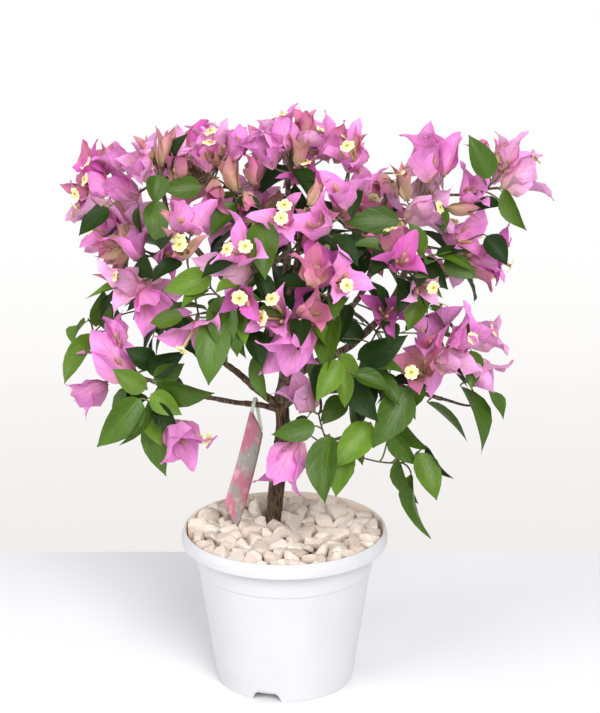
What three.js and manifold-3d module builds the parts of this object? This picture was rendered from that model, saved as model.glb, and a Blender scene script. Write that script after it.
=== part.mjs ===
// A bougainvillea bush in a white plastic pot: the pot with its soil and pebbles, the trunk, the
// boughs, the masses of bloom and leaves that make the crown, and the label on the low bough.
// Millimetres, +Z up. The front faces -Y. The origin is the middle of the pot's flat underside.
import * as THREE from "three";
import { mergeVertices } from "three/addons/utils/BufferGeometryUtils.js";
import Module from "manifold-3d";

const wasm = await Module();
wasm.setup();

const GAP = 0.35; // left between pieces that touch
const SLIVER = 0.12; // detail finer than this goes after a cut

const POT = {
  height: 119.5,
  lipRadius: 77.5,
  mouthRadius: 74.2,
  lipHeight: 11,
  neckRadius: 68.2, // outside of the wall, just under the lip
  stepHeight: 89, // the fine step round the wall
  stepRadius: 65.2,
  stepDepth: 0.7,
  baseRadius: 52,
  wall: 1.8,
  edge: 1.2, // bevel on the lip's corners
  footHeight: 7.5, // height of the drain channel round the middle disc
  discRadius: 37,
  slope: 2, // how far the channel's inner side leans
  segments: 30,
};
const NOTCH = { count: 3, firstAngle: -105, width: 19, topWidth: 15, height: 6.3, depth: 8 };
const SOIL = { top: 103.6 };
const PEBBLES = { rim: 112.6, mound: 4.4, crest: 28, relief: 0.6, rings: 4 };

const TRUNK = {
  foot: [-9.2, 26],
  path: [
    [-8.2, 25.3, 118],
    [-6.2, 24.4, 142],
    [-2.4, 22.2, 176],
    [-1.4, 20.2, 198],
  ],
  head: [-2.4, 18.6, 213],
  footRadius: 7,
  headRadius: 5.7,
  flare: 3.6, // how far the root flare stands out at ground level
  flareShare: 0.14, // of the trunk's length
  ribs: 5, // ridges in the flare
};

// Each bough starts inside the limb that carries it and is cut back to that limb's surface.
const BOUGHS = [
  {
    name: "bough_leader",
    radii: [5.2, 2],
    path: [[-2.3, 18.5, 213.35], [0.5, 15.5, 240], [-3, 12, 275], [2, 8, 320], [3, 2, 386]],
  },
  {
    name: "bough_low_left",
    radii: [2.5, 1.6],
    path: [[-3, 19, 205], [-18, 14, 210.7], [-38, 4, 216.2], [-63, -10, 226], [-84, -18, 234]],
  },
  {
    name: "bough_left",
    radii: [3.4, 1.8],
    path: [[-3, 19, 208], [-18, 10, 222], [-33.7, -4, 241], [-47, -16, 256], [-61, -24, 281]],
  },
  {
    name: "bough_right_low",
    radii: [3.2, 1.7],
    path: [[-2, 18, 209], [16, 12, 220], [45, 4, 226], [80, 0, 230], [116, 0, 220]],
  },
  {
    name: "bough_right",
    radii: [3.8, 1.8],
    path: [[0, 16, 230], [22, 10, 244], [52, 6, 262], [82, 4, 300], [99, 0, 368]],
  },
  {
    name: "bough_back_right",
    radii: [3.2, 1.6],
    path: [[0, 15, 247], [30, 36, 262], [60, 56, 290], [76, 60, 356]],
  },
  {
    name: "bough_upper_left",
    radii: [3.4, 1.7],
    path: [[-1.5, 13, 262], [-25, 8, 288], [-55, 5, 322], [-80, 0, 352], [-87, -6, 384]],
  },
  {
    name: "bough_back",
    radii: [3, 1.6],
    path: [[-3, 12, 274], [-5, 40, 292], [-10, 70, 312], [-18, 96, 330]],
  },
  {
    name: "bough_front",
    radii: [3, 1.6],
    path: [[-1, 11, 290], [3, -15, 302], [8, -42, 326], [12, -58, 356]],
  },
];

// One row for each mass of the crown: the place of its middle (to the right, to the back, up from
// the floor), and how far it reaches from there on each of the three.
const MASSES = [
  ["bloom_top", [2, -2, 404], [28, 32, 31]],
  ["bloom_top_left", [-44, 0, 396], [28, 32, 27]],
  ["bloom_top_right", [43, -8, 394], [27, 32, 33]],
  ["bloom_upper_left", [-88, -8, 396], [28, 32, 26]],
  ["bloom_upper_right", [99, 0, 388], [34, 34, 34]],
  ["bloom_far_left", [-129, 0, 382], [28, 32, 25]],
  ["bloom_far_right", [155, 0, 388], [34, 32, 28]],
  ["bloom_centre", [14, -63, 371], [31, 30, 27]],
  ["bloom_centre_left", [-26, -71, 341], [27, 30, 31]],
  ["bloom_centre_right", [35, -74, 330], [27, 30, 27]],
  ["bloom_inner_left", [-65, -50, 350], [26, 32, 30]],
  ["bloom_inner_right", [79, -50, 336], [29, 30, 27]],
  ["bloom_low_centre", [5, -74, 292], [29, 30, 28]],
  ["bloom_left", [-109, 5, 338], [34, 36, 25]],
  ["bloom_left_waist", [-104, -13, 302], [34, 34, 24]],
  ["bloom_right", [134, 8, 333], [34, 36, 30]],
  ["bloom_under_right", [68, -46, 297], [25, 28, 20]],
  ["bloom_left_pocket", [-64, -52, 283], [25, 26, 15]],
  ["bloom_low_right", [104, -20, 264], [36, 36, 32]],
  ["bloom_tip_right", [148, -5, 254], [25, 30, 32]],
  ["bloom_low_left", [-128, -20, 264], [23, 28, 25]],
  ["bloom_tip_left", [-145, -14, 228], [17, 20, 17]],
  ["bloom_hang_left", [-76, -35, 200], [19, 20, 22]],
  ["bloom_at_fork", [9, -26, 236], [20, 22, 18]],
  ["bloom_by_trunk", [-1, -38, 181], [20, 19, 22]],
  ["leaves_left_centre", [-46, -55, 305], [31, 28, 40]],
  ["leaves_under_centre", [34, -58, 274], [24, 28, 38]],
  ["leaves_low_left", [-98, -24, 228], [38, 36, 34]],
  ["leaves_left_edge", [-141, 5, 264], [20, 32, 32]],
  ["leaves_right_centre", [62, -32, 245], [32, 34, 35]],
  ["leaves_right_shoulder", [99, -20, 316], [26, 32, 32]],
  ["leaves_drop_centre", [30, -36, 197], [26, 24, 34]],
  ["leaves_drop_right", [92, -14, 170], [29, 32, 44]],
  ["leaves_far_right", [136, 2, 206], [34, 34, 32]],
  ["leaves_core", [-2, 8, 332], [50, 44, 50]],
  ["bloom_back_top", [6, 64, 388], [42, 42, 36]],
  ["bloom_back_top_left", [-64, 58, 378], [40, 40, 35]],
  ["bloom_back_top_right", [80, 60, 376], [42, 42, 37]],
  ["bloom_back_left", [-114, 56, 326], [38, 42, 38]],
  ["bloom_back_centre", [-28, 108, 332], [47, 38, 42]],
  ["bloom_back_right", [60, 106, 322], [48, 38, 42]],
  ["bloom_back_far_right", [130, 60, 304], [40, 42, 42]],
  ["leaves_back_low_left", [-86, 64, 272], [40, 42, 37]],
  ["leaves_back_low", [6, 90, 268], [44, 42, 38]],
  ["leaves_back_low_right", [78, 74, 250], [42, 44, 42]],
];
const MASS = { detail: 1, lump: 0.15, grow: 0.7 };

// The label is a leaning four-cornered blade, turned about the vertical, on a flat strap that
// loops over the low bough. Its corners run right and up from its top left corner.
const LABEL = {
  top: [-25.5, 10.5, 209.5],
  turn: 40,
  corners: [[0, 0], [11.5, -23], [-13.8, -94], [-25.5, -69]],
  thickness: 0.8,
  strap: [[-24.3, 11.5, 205.5], [-24, 7.6, 209], [-23, 6.8, 213], [-22, 11.2, 217.2],
    [-21, 16.2, 213], [-19.8, 18.4, 203], [-17.6, 17.2, 190]],
  strapWidth: 3,
  strapThickness: 0.8,
};

const finish = (color, roughness) =>
  new THREE.MeshStandardMaterial({ color, roughness, metalness: 0, flatShading: true });
const FINISH = {
  pot: finish(0xf1f1f4, 0.35),
  soil: finish(0x3b2c22, 0.95),
  pebbles: finish(0xdcccbd, 0.8),
  bark: finish(0x66524a, 0.85),
  bloom: finish(0xdc78d0, 0.6),
  leaves: finish(0x3f7026, 0.5),
  label: finish(0xb07c84, 0.4),
};

const degrees = THREE.MathUtils.degToRad;
const vectors = (points) => points.map((p) => new THREE.Vector3(...p));
const shape = (corners) => new THREE.Shape(corners.map(([u, v]) => new THREE.Vector2(u, v)));

// A closed geometry as a manifold-3d solid, its faces turned outwards.
function solidOf(geometry) {
  const bare = geometry.clone();
  bare.deleteAttribute("normal");
  bare.deleteAttribute("uv");
  const merged = mergeVertices(bare, 1e-4);
  const mesh = {
    numProp: 3,
    vertProperties: merged.attributes.position.array,
    triVerts: new Uint32Array(merged.index.array),
  };
  const solid = new wasm.Manifold(new wasm.Mesh(mesh));
  if (solid.volume() > 0) return solid;
  mesh.triVerts.reverse();
  return new wasm.Manifold(new wasm.Mesh(mesh));
}

function geometryOf(solid) {
  const { vertProperties, triVerts } = solid.getMesh();
  const geometry = new THREE.BufferGeometry();
  geometry.setAttribute("position", new THREE.BufferAttribute(vertProperties, 3));
  geometry.setIndex(new THREE.BufferAttribute(triVerts, 1));
  geometry.computeVertexNormals();
  return geometry;
}

// The solid less its neighbours: the largest body that is left, without slivers.
function cutBack(solid, neighbours) {
  if (!neighbours.length) return solid;
  const bodies = solid.subtract(wasm.Manifold.union(neighbours)).simplify(SLIVER).decompose();
  return bodies.reduce((a, b) => (b.volume() > a.volume() ? b : a));
}

// A profile of [radius, height] pairs, from axis to axis, turned about the vertical.
function turned(profile, segments) {
  const points = profile.map(([r, z]) => new THREE.Vector2(r, z));
  return new THREE.LatheGeometry(points, segments).rotateX(Math.PI / 2);
}

// A round limb of given radius along a smooth path: a cylinder bent onto the curve. radiusAt
// gives the radius for the share of the length and the angle round the limb.
function limb(path, radiusAt, sides, steps) {
  const curve = new THREE.CatmullRomCurve3(vectors(path));
  const { tangents, normals } = curve.computeFrenetFrames(steps);
  const geometry = new THREE.CylinderGeometry(1, 1, 1, sides, steps);
  const place = geometry.attributes.position;
  for (let i = 0; i < place.count; i++) {
    const share = place.getY(i) + 0.5;
    const step = Math.round(share * steps);
    const side = new THREE.Vector3().crossVectors(normals[step], tangents[step]);
    const radius = radiusAt(share, Math.atan2(place.getZ(i), place.getX(i)));
    const point = curve.getPointAt(share);
    point.addScaledVector(normals[step], radius * place.getX(i));
    point.addScaledVector(side, radius * place.getZ(i));
    place.setXYZ(i, point.x, point.y, point.z);
  }
  return geometry;
}

// The outside of the pot's wall: two straight tapers, the upper one set out by the fine step.
function potRadius(z) {
  const { stepHeight, stepRadius, stepDepth, baseRadius, neckRadius, height, lipHeight } = POT;
  if (z < stepHeight) return THREE.MathUtils.mapLinear(z, 0, stepHeight, baseRadius, stepRadius);
  return THREE.MathUtils.mapLinear(z, stepHeight, height - lipHeight, stepRadius + stepDepth, neckRadius);
}
const potInside = (z) => potRadius(z) - POT.wall;

function potSolid() {
  const { height, lipRadius, mouthRadius, lipHeight, stepHeight, wall, edge } = POT;
  const { baseRadius, footHeight, discRadius, slope, segments } = POT;
  const lipFoot = height - lipHeight;
  const floor = footHeight + wall;
  const outside = [
    [0, 0],
    [discRadius, 0],
    [discRadius + slope, footHeight],
    [potRadius(footHeight) - wall, footHeight],
    [baseRadius - wall, 0],
    [baseRadius, 0],
    [potRadius(stepHeight - 0.01), stepHeight],
    [potRadius(stepHeight), stepHeight + 0.6],
    [potRadius(lipFoot), lipFoot],
    [lipRadius, lipFoot + edge / 2],
    [lipRadius, height - edge],
    [lipRadius - edge, height],
  ];
  const inside = [
    [mouthRadius, height],
    [mouthRadius - 0.5, lipFoot + wall],
    [potInside(lipFoot), lipFoot - 0.4],
    [potInside(stepHeight), stepHeight],
    [potInside(floor), floor],
    [discRadius - wall + slope, floor],
    [discRadius - wall, wall],
    [0, wall],
  ];
  const body = solidOf(turned([...outside, ...inside], segments));
  const notches = [];
  for (let i = 0; i < NOTCH.count; i++) {
    const { width, topWidth } = NOTCH;
    const outline = shape([[-width / 2, -1], [width / 2, -1], [width / 2, 0], [topWidth / 2, NOTCH.height],
      [-topWidth / 2, NOTCH.height], [-width / 2, 0]]);
    const notch = new THREE.ExtrudeGeometry(outline, { depth: NOTCH.depth, bevelEnabled: false });
    notch.rotateX(Math.PI / 2).rotateZ(Math.PI / 2);
    notch.translate(baseRadius - NOTCH.depth / 2, 0, 0);
    notch.rotateZ(degrees(NOTCH.firstAngle + (360 / NOTCH.count) * i));
    notches.push(solidOf(notch));
  }
  return body.subtract(wasm.Manifold.union(notches));
}

function soilSolid() {
  const floor = POT.footHeight + POT.wall + GAP;
  const profile = [
    [0, POT.wall + GAP],
    [POT.discRadius - POT.wall - GAP, POT.wall + GAP],
    [POT.discRadius - POT.wall + POT.slope - GAP, floor],
    [potInside(floor) - GAP, floor],
    [potInside(POT.stepHeight) - GAP - POT.stepDepth, POT.stepHeight],
    [potInside(SOIL.top) - GAP, SOIL.top],
    [0, SOIL.top],
  ];
  return solidOf(turned(profile, POT.segments));
}

// The bed of pebbles: it fills the pot's mouth, over the ledge, and rises in a low mound.
function pebbleSolid() {
  const foot = SOIL.top + GAP;
  const ledge = POT.height - POT.lipHeight;
  const reach = POT.mouthRadius - 0.8;
  const profile = [
    [0, foot],
    [potInside(foot) - GAP, foot],
    [potInside(ledge) - 1, ledge - 0.6],
    [reach, ledge + POT.wall + 0.8],
  ];
  for (let i = 0; i <= PEBBLES.rings; i++) {
    profile.push([(reach * (PEBBLES.rings - i)) / PEBBLES.rings, PEBBLES.rim]);
  }
  const bed = turned(profile, POT.segments);
  const place = bed.attributes.position;
  for (let i = 0; i < place.count; i++) {
    if (place.getZ(i) < PEBBLES.rim - 0.01) continue;
    const [x, y] = [place.getX(i), place.getY(i)];
    const inward = 1 - THREE.MathUtils.smoothstep(Math.hypot(x, y), PEBBLES.crest, reach);
    const bumps = Math.sin(x * 0.55 + 1) * Math.cos(y * 0.5) + Math.sin(x * 0.31 - y * 0.43);
    place.setZ(i, PEBBLES.rim + PEBBLES.mound * inward + PEBBLES.relief * bumps);
  }
  return solidOf(bed);
}

function trunkSolid(grow = 0) {
  const ground = SOIL.top + GAP;
  const path = [[...TRUNK.foot, ground], ...TRUNK.path, TRUNK.head];
  const radiusAt = (share, angle) => {
    const flare = Math.max(0, 1 - share / TRUNK.flareShare) ** 2;
    const ribbed = 1 + 0.45 * Math.sin(TRUNK.ribs * angle);
    const taper = THREE.MathUtils.lerp(TRUNK.footRadius, TRUNK.headRadius, share);
    return taper + TRUNK.flare * flare * ribbed + grow;
  };
  const trunk = limb(path, radiusAt, 10, 10);
  const place = trunk.attributes.position;
  for (let i = 0; i < place.count; i++) {
    if (place.getZ(i) < ground + 1) place.setZ(i, ground - grow);
  }
  return solidOf(trunk);
}

function boughSolid({ path, radii }, grow = 0) {
  const radiusAt = (share) => THREE.MathUtils.lerp(radii[0], radii[1], share) + grow;
  return solidOf(limb(path, radiusAt, 6, 7));
}

// A closed uneven lump that reaches exactly its named size on each side of its middle. Its
// bulges come from sines of the direction, shifted by its number.
function massSolid([, middle, reach], number, grow = 0) {
  const lump = new THREE.IcosahedronGeometry(1, MASS.detail);
  const place = lump.attributes.position;
  const direction = new THREE.Vector3();
  for (let i = 0; i < place.count; i++) {
    direction.fromBufferAttribute(place, i);
    const { x, y, z } = direction;
    const bulge = Math.sin(4.3 * x + 1.7 * number) + Math.sin(4.9 * y + 2.9 * number);
    direction.multiplyScalar(1 + MASS.lump * (bulge + Math.sin(5.3 * z + 0.8 * number)));
    place.setXYZ(i, direction.x, direction.y, direction.z);
  }
  lump.computeBoundingBox();
  const size = lump.boundingBox.getSize(new THREE.Vector3()).divideScalar(2);
  const centre = lump.boundingBox.getCenter(new THREE.Vector3());
  lump.translate(-centre.x, -centre.y, -centre.z);
  lump.scale((reach[0] + grow) / size.x, (reach[1] + grow) / size.y, (reach[2] + grow) / size.z);
  lump.translate(...middle);
  return solidOf(lump);
}

function labelSolid() {
  const outline = shape(LABEL.corners);
  const blade = new THREE.ExtrudeGeometry(outline, { depth: LABEL.thickness, bevelEnabled: false });
  blade.rotateX(Math.PI / 2).rotateZ(degrees(LABEL.turn));
  blade.translate(...LABEL.top);
  const curve = new THREE.CatmullRomCurve3(vectors(LABEL.strap));
  const [across, thick] = [LABEL.strapWidth / 2, LABEL.strapThickness / 2];
  const section = shape([[-thick, -across], [thick, -across], [thick, across], [-thick, across]]);
  const strap = new THREE.ExtrudeGeometry(section, { steps: 10, extrudePath: curve });
  return solidOf(blade).add(solidOf(strap)).simplify(0.02);
}

// A solid grown by the gap all round, near enough for thin pieces: a few shifted copies.
function grownBy(solid, gap) {
  const shifts = [[gap, 0, 0], [-gap, 0, 0], [0, gap, 0], [0, -gap, 0], [0, 0, gap], [0, 0, -gap]];
  return wasm.Manifold.union([solid, ...shifts.map((s) => solid.translate(s))]);
}

const bush = new THREE.Group();
function addNode(name, solid, material) {
  const mesh = new THREE.Mesh(geometryOf(solid), material);
  mesh.name = name;
  bush.add(mesh);
}

const trunk = trunkSolid();
const label = labelSolid();
const labelRoom = grownBy(label, GAP);
const limbRooms = [trunkSolid(GAP)];

addNode("pot", potSolid(), FINISH.pot);
addNode("soil", soilSolid(), FINISH.soil);
addNode("pebbles", cutBack(pebbleSolid(), [limbRooms[0], labelRoom]), FINISH.pebbles);
addNode("trunk", trunk, FINISH.bark);
for (const bough of BOUGHS) {
  addNode(bough.name, cutBack(boughSolid(bough), limbRooms), FINISH.bark);
  limbRooms.push(boughSolid(bough, GAP));
}
addNode("plant_label", label, FINISH.label);

const taken = [...limbRooms, labelRoom];
MASSES.forEach((mass, number) => {
  const material = mass[0].startsWith("bloom") ? FINISH.bloom : FINISH.leaves;
  addNode(mass[0], cutBack(massSolid(mass, number), taken), material);
  taken.push(massSolid(mass, number, MASS.grow));
});

export default bush;
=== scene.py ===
"""A small pink bougainvillea bush in a white plastic pot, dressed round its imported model.

Lengths are metres, +Z is up, the front of the bush faces -Y and the pot stands on the origin.
Pot, stones, label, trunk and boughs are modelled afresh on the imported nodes. Each packed mass of
bloom or leaves is replaced by shoots, leaves, bracts and flowers that grow on from the boughs by a
seeded branching rule.
"""

import math

import bpy
import numpy as np
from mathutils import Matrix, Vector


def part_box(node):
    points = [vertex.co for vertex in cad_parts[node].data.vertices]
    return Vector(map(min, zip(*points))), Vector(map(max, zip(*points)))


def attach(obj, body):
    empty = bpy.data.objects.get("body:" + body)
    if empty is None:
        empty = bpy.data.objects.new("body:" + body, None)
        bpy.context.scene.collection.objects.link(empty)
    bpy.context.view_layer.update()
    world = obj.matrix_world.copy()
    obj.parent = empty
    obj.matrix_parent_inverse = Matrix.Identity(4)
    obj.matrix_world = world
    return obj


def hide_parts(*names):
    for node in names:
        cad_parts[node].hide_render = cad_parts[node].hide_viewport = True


MM = 0.001
SEED = 11
UP = np.array([0.0, 0.0, 1.0])
GOLDEN_ANGLE = math.pi * (3 - math.sqrt(5))  # from one leaf or twig to the next round a stem

# The camera's place in metres, how far it looks down in degrees, and its lens and sensor in
# millimetres. The view's own directions follow from it.
CAMERA = {"place": (0.0115, -1.2308, 0.6053), "down": 16, "lens": 88.36, "sensor": 36}
VIEW_DOWN = math.radians(CAMERA["down"])
VIEW_RIGHT = np.array([1.0, 0, 0])
VIEW_UP = np.array([0, math.sin(VIEW_DOWN), math.cos(VIEW_DOWN)])
TO_VIEWER = np.array([0, -math.cos(VIEW_DOWN), math.sin(VIEW_DOWN)])
LAMP_AIM = (0, 0, 0.26)  # in the lower part of the crown, in metres

# The pot and its notches in millimetres. The angle of the first notch is in degrees.
POT = {
    "height": 119.5, "lip_radius": 77.5, "mouth_radius": 74.2, "lip_height": 11, "neck_radius": 68.2,
    "step_height": 89, "step_radius": 65.2, "step_depth": 0.7, "base_radius": 52, "wall": 1.8,
    "foot_height": 7.5, "disc_radius": 37, "slope": 2, "sides": 144,
}
NOTCH = {"count": 3, "first_angle": -105, "width": 19, "height": 6.3}
# The bed of stones in millimetres. Of each layer: how many stones, their sizes, and how near to the
# trunk's middle line they come.
STONES = {"rim": 116.2, "mound": 1.6, "bed_radius": 70, "lowest": 104.2, "layer_drop": 8,
          "upper": (104, (5.6, 10.2), 11), "lower": (84, (7, 10), 9)}

# The trunk and the boughs in millimetres, without their bark ridges. The flare reaches up its share
# of the trunk's length. A bough has its radii at the foot and at the tip before its route.
TRUNK = {
    "path": [(-9.2, 26, 103.95), (-8.2, 25.3, 118), (-6.2, 24.4, 142), (-2.4, 22.2, 176),
             (-1.4, 20.2, 198), (-2.4, 18.6, 213), (-2.2, 18.2, 216.5)],
    "radii": (7, 5.7), "flare": 3.6, "flare_share": 0.14, "ribs": 5, "sides": 48,
}
BOUGHS = {
    "bough_leader": ((5.2, 2), [(-2.3, 18.5, 213), (0.5, 15.5, 240), (-3, 12, 275), (2, 8, 320),
                                (3, 2, 386)]),
    "bough_low_left": ((2.5, 1.6), [(-3, 19, 205), (-18, 14, 210.7), (-38, 4, 216.2), (-63, -10, 226),
                                    (-84, -18, 234)]),
    "bough_left": ((3.4, 1.8), [(-3, 19, 208), (-18, 10, 222), (-33.7, -4, 241), (-47, -16, 256),
                                (-61, -24, 281)]),
    "bough_right_low": ((3.2, 1.7), [(-2, 18, 209), (16, 12, 220), (45, 4, 226), (80, 0, 230),
                                     (116, 0, 220)]),
    "bough_right": ((3.8, 1.8), [(0, 16, 230), (22, 10, 244), (52, 6, 262), (82, 4, 300), (99, 0, 368)]),
    "bough_back_right": ((3.2, 1.6), [(0, 15, 247), (30, 36, 262), (60, 56, 290), (76, 60, 356)]),
    "bough_upper_left": ((3.4, 1.7), [(-1.5, 13, 262), (-25, 8, 288), (-55, 5, 322), (-80, 0, 352),
                                      (-87, -6, 384)]),
    "bough_back": ((3, 1.6), [(-3, 12, 274), (-5, 40, 292), (-10, 70, 312), (-18, 96, 330)]),
    "bough_front": ((3, 1.6), [(-1, 11, 290), (3, -15, 302), (8, -42, 326), (12, -58, 356)]),
}
BOUGH_SIDES = 20
SCARS = {"first": 12, "pitch": 16, "stray": 3, "size": 1.6}  # the old leaf scars, in millimetres

# The label's corners are given in its own plane from its top, in millimetres.
LABEL = {
    "top": (-25.5, 10.5, 209.5), "turn": 40, "corners": [(0, 0), (11.5, -23), (-13.8, -94), (-25.5, -69)],
    "thickness": 0.8,
    "strap": [(-24.3, 11.5, 205.5), (-24, 7.6, 209), (-23, 6.8, 213), (-22, 11.2, 217.2),
              (-21, 16.2, 213), (-19.8, 18.4, 203), (-17.6, 17.2, 190)],
    "strap_width": 3, "strap_thickness": 0.8,
}

# What the branching rule grows in a mass: the length of the bracts in millimetres, how wide the
# blooms open (degrees), the share that is still young, how far the leaves droop, and how deep the
# ball is that blooms with a place of their own sit on, as a share of the mass's depth.
USUAL_SPRAY = {"length": (29, 39), "open": 36, "young": 0.2, "droop": 0.55, "depth": 0.25}
# How some masses differ, with their number of grown blooms and of leaves where it doesn't follow
# from their size, and the way that those blooms face (right, back, up).
SPRAYS = {
    "bloom_top": {"blooms": 6, "facing": (0.1, 0.1, 1), "open": 24, "length": (24, 32), "young": 0.4},
    "bloom_top_left": {"blooms": 6, "facing": (-0.2, 0.1, 1), "open": 22, "length": (23, 31),
                       "young": 0.45},
    "bloom_top_right": {"blooms": 3, "facing": (0, 0.2, 1), "open": 22, "length": (24, 32), "young": 0.35},
    "bloom_upper_left": {"blooms": 5, "facing": (-0.3, 0.1, 1), "open": 22, "length": (23, 31),
                         "young": 0.45},
    "bloom_upper_right": {"blooms": 1, "facing": (0.6, 0.9, 0.3), "open": 26},
    "bloom_far_left": {"blooms": 3, "facing": (-0.8, 0.3, 0.5), "open": 28, "length": (24, 32)},
    "bloom_far_right": {"blooms": 2, "facing": (0.7, 0.5, 0.4), "open": 28},
    "bloom_left": {"leaves": 1}, "bloom_right": {"blooms": 1, "leaves": 1},
    "bloom_inner_right": {"blooms": 1, "leaves": 6}, "bloom_under_right": {"blooms": 0, "leaves": 2},
    "bloom_low_right": {"blooms": 2, "leaves": 3}, "bloom_tip_right": {"blooms": 0, "leaves": 1},
    "bloom_at_fork": {"blooms": 0, "leaves": 1}, "bloom_by_trunk": {"blooms": 0, "leaves": 0},
    "bloom_low_left": {"blooms": 0, "leaves": 1}, "bloom_tip_left": {"blooms": 0, "leaves": 0},
    "bloom_left_pocket": {"blooms": 0, "leaves": 0, "depth": 0.9},
    "bloom_hang_left": {"blooms": 0, "leaves": 0, "depth": 0.9},
    "bloom_back_top": {"facing": (0, 1, 0.5)}, "bloom_back_centre": {"leaves": 8},
    "bloom_back_top_right": {"blooms": 3, "facing": (1, 0.5, -1.6), "length": (22, 26), "open": 18,
                             "leaves": 0},
    "bloom_back_right": {"leaves": 10},
    "bloom_back_far_right": {"blooms": 5, "facing": (0.2, 1, 0.5), "leaves": 2, "droop": 0.2},
    "leaves_core": {"leaves": 48, "droop": 0.4},
    "leaves_low_left": {"leaves": 6, "droop": 0.8}, "leaves_left_edge": {"leaves": 1, "droop": 0.9},
    "leaves_drop_centre": {"leaves": 3, "droop": 1.0}, "leaves_drop_right": {"leaves": 0},
    "leaves_far_right": {"leaves": 0},
}
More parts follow.
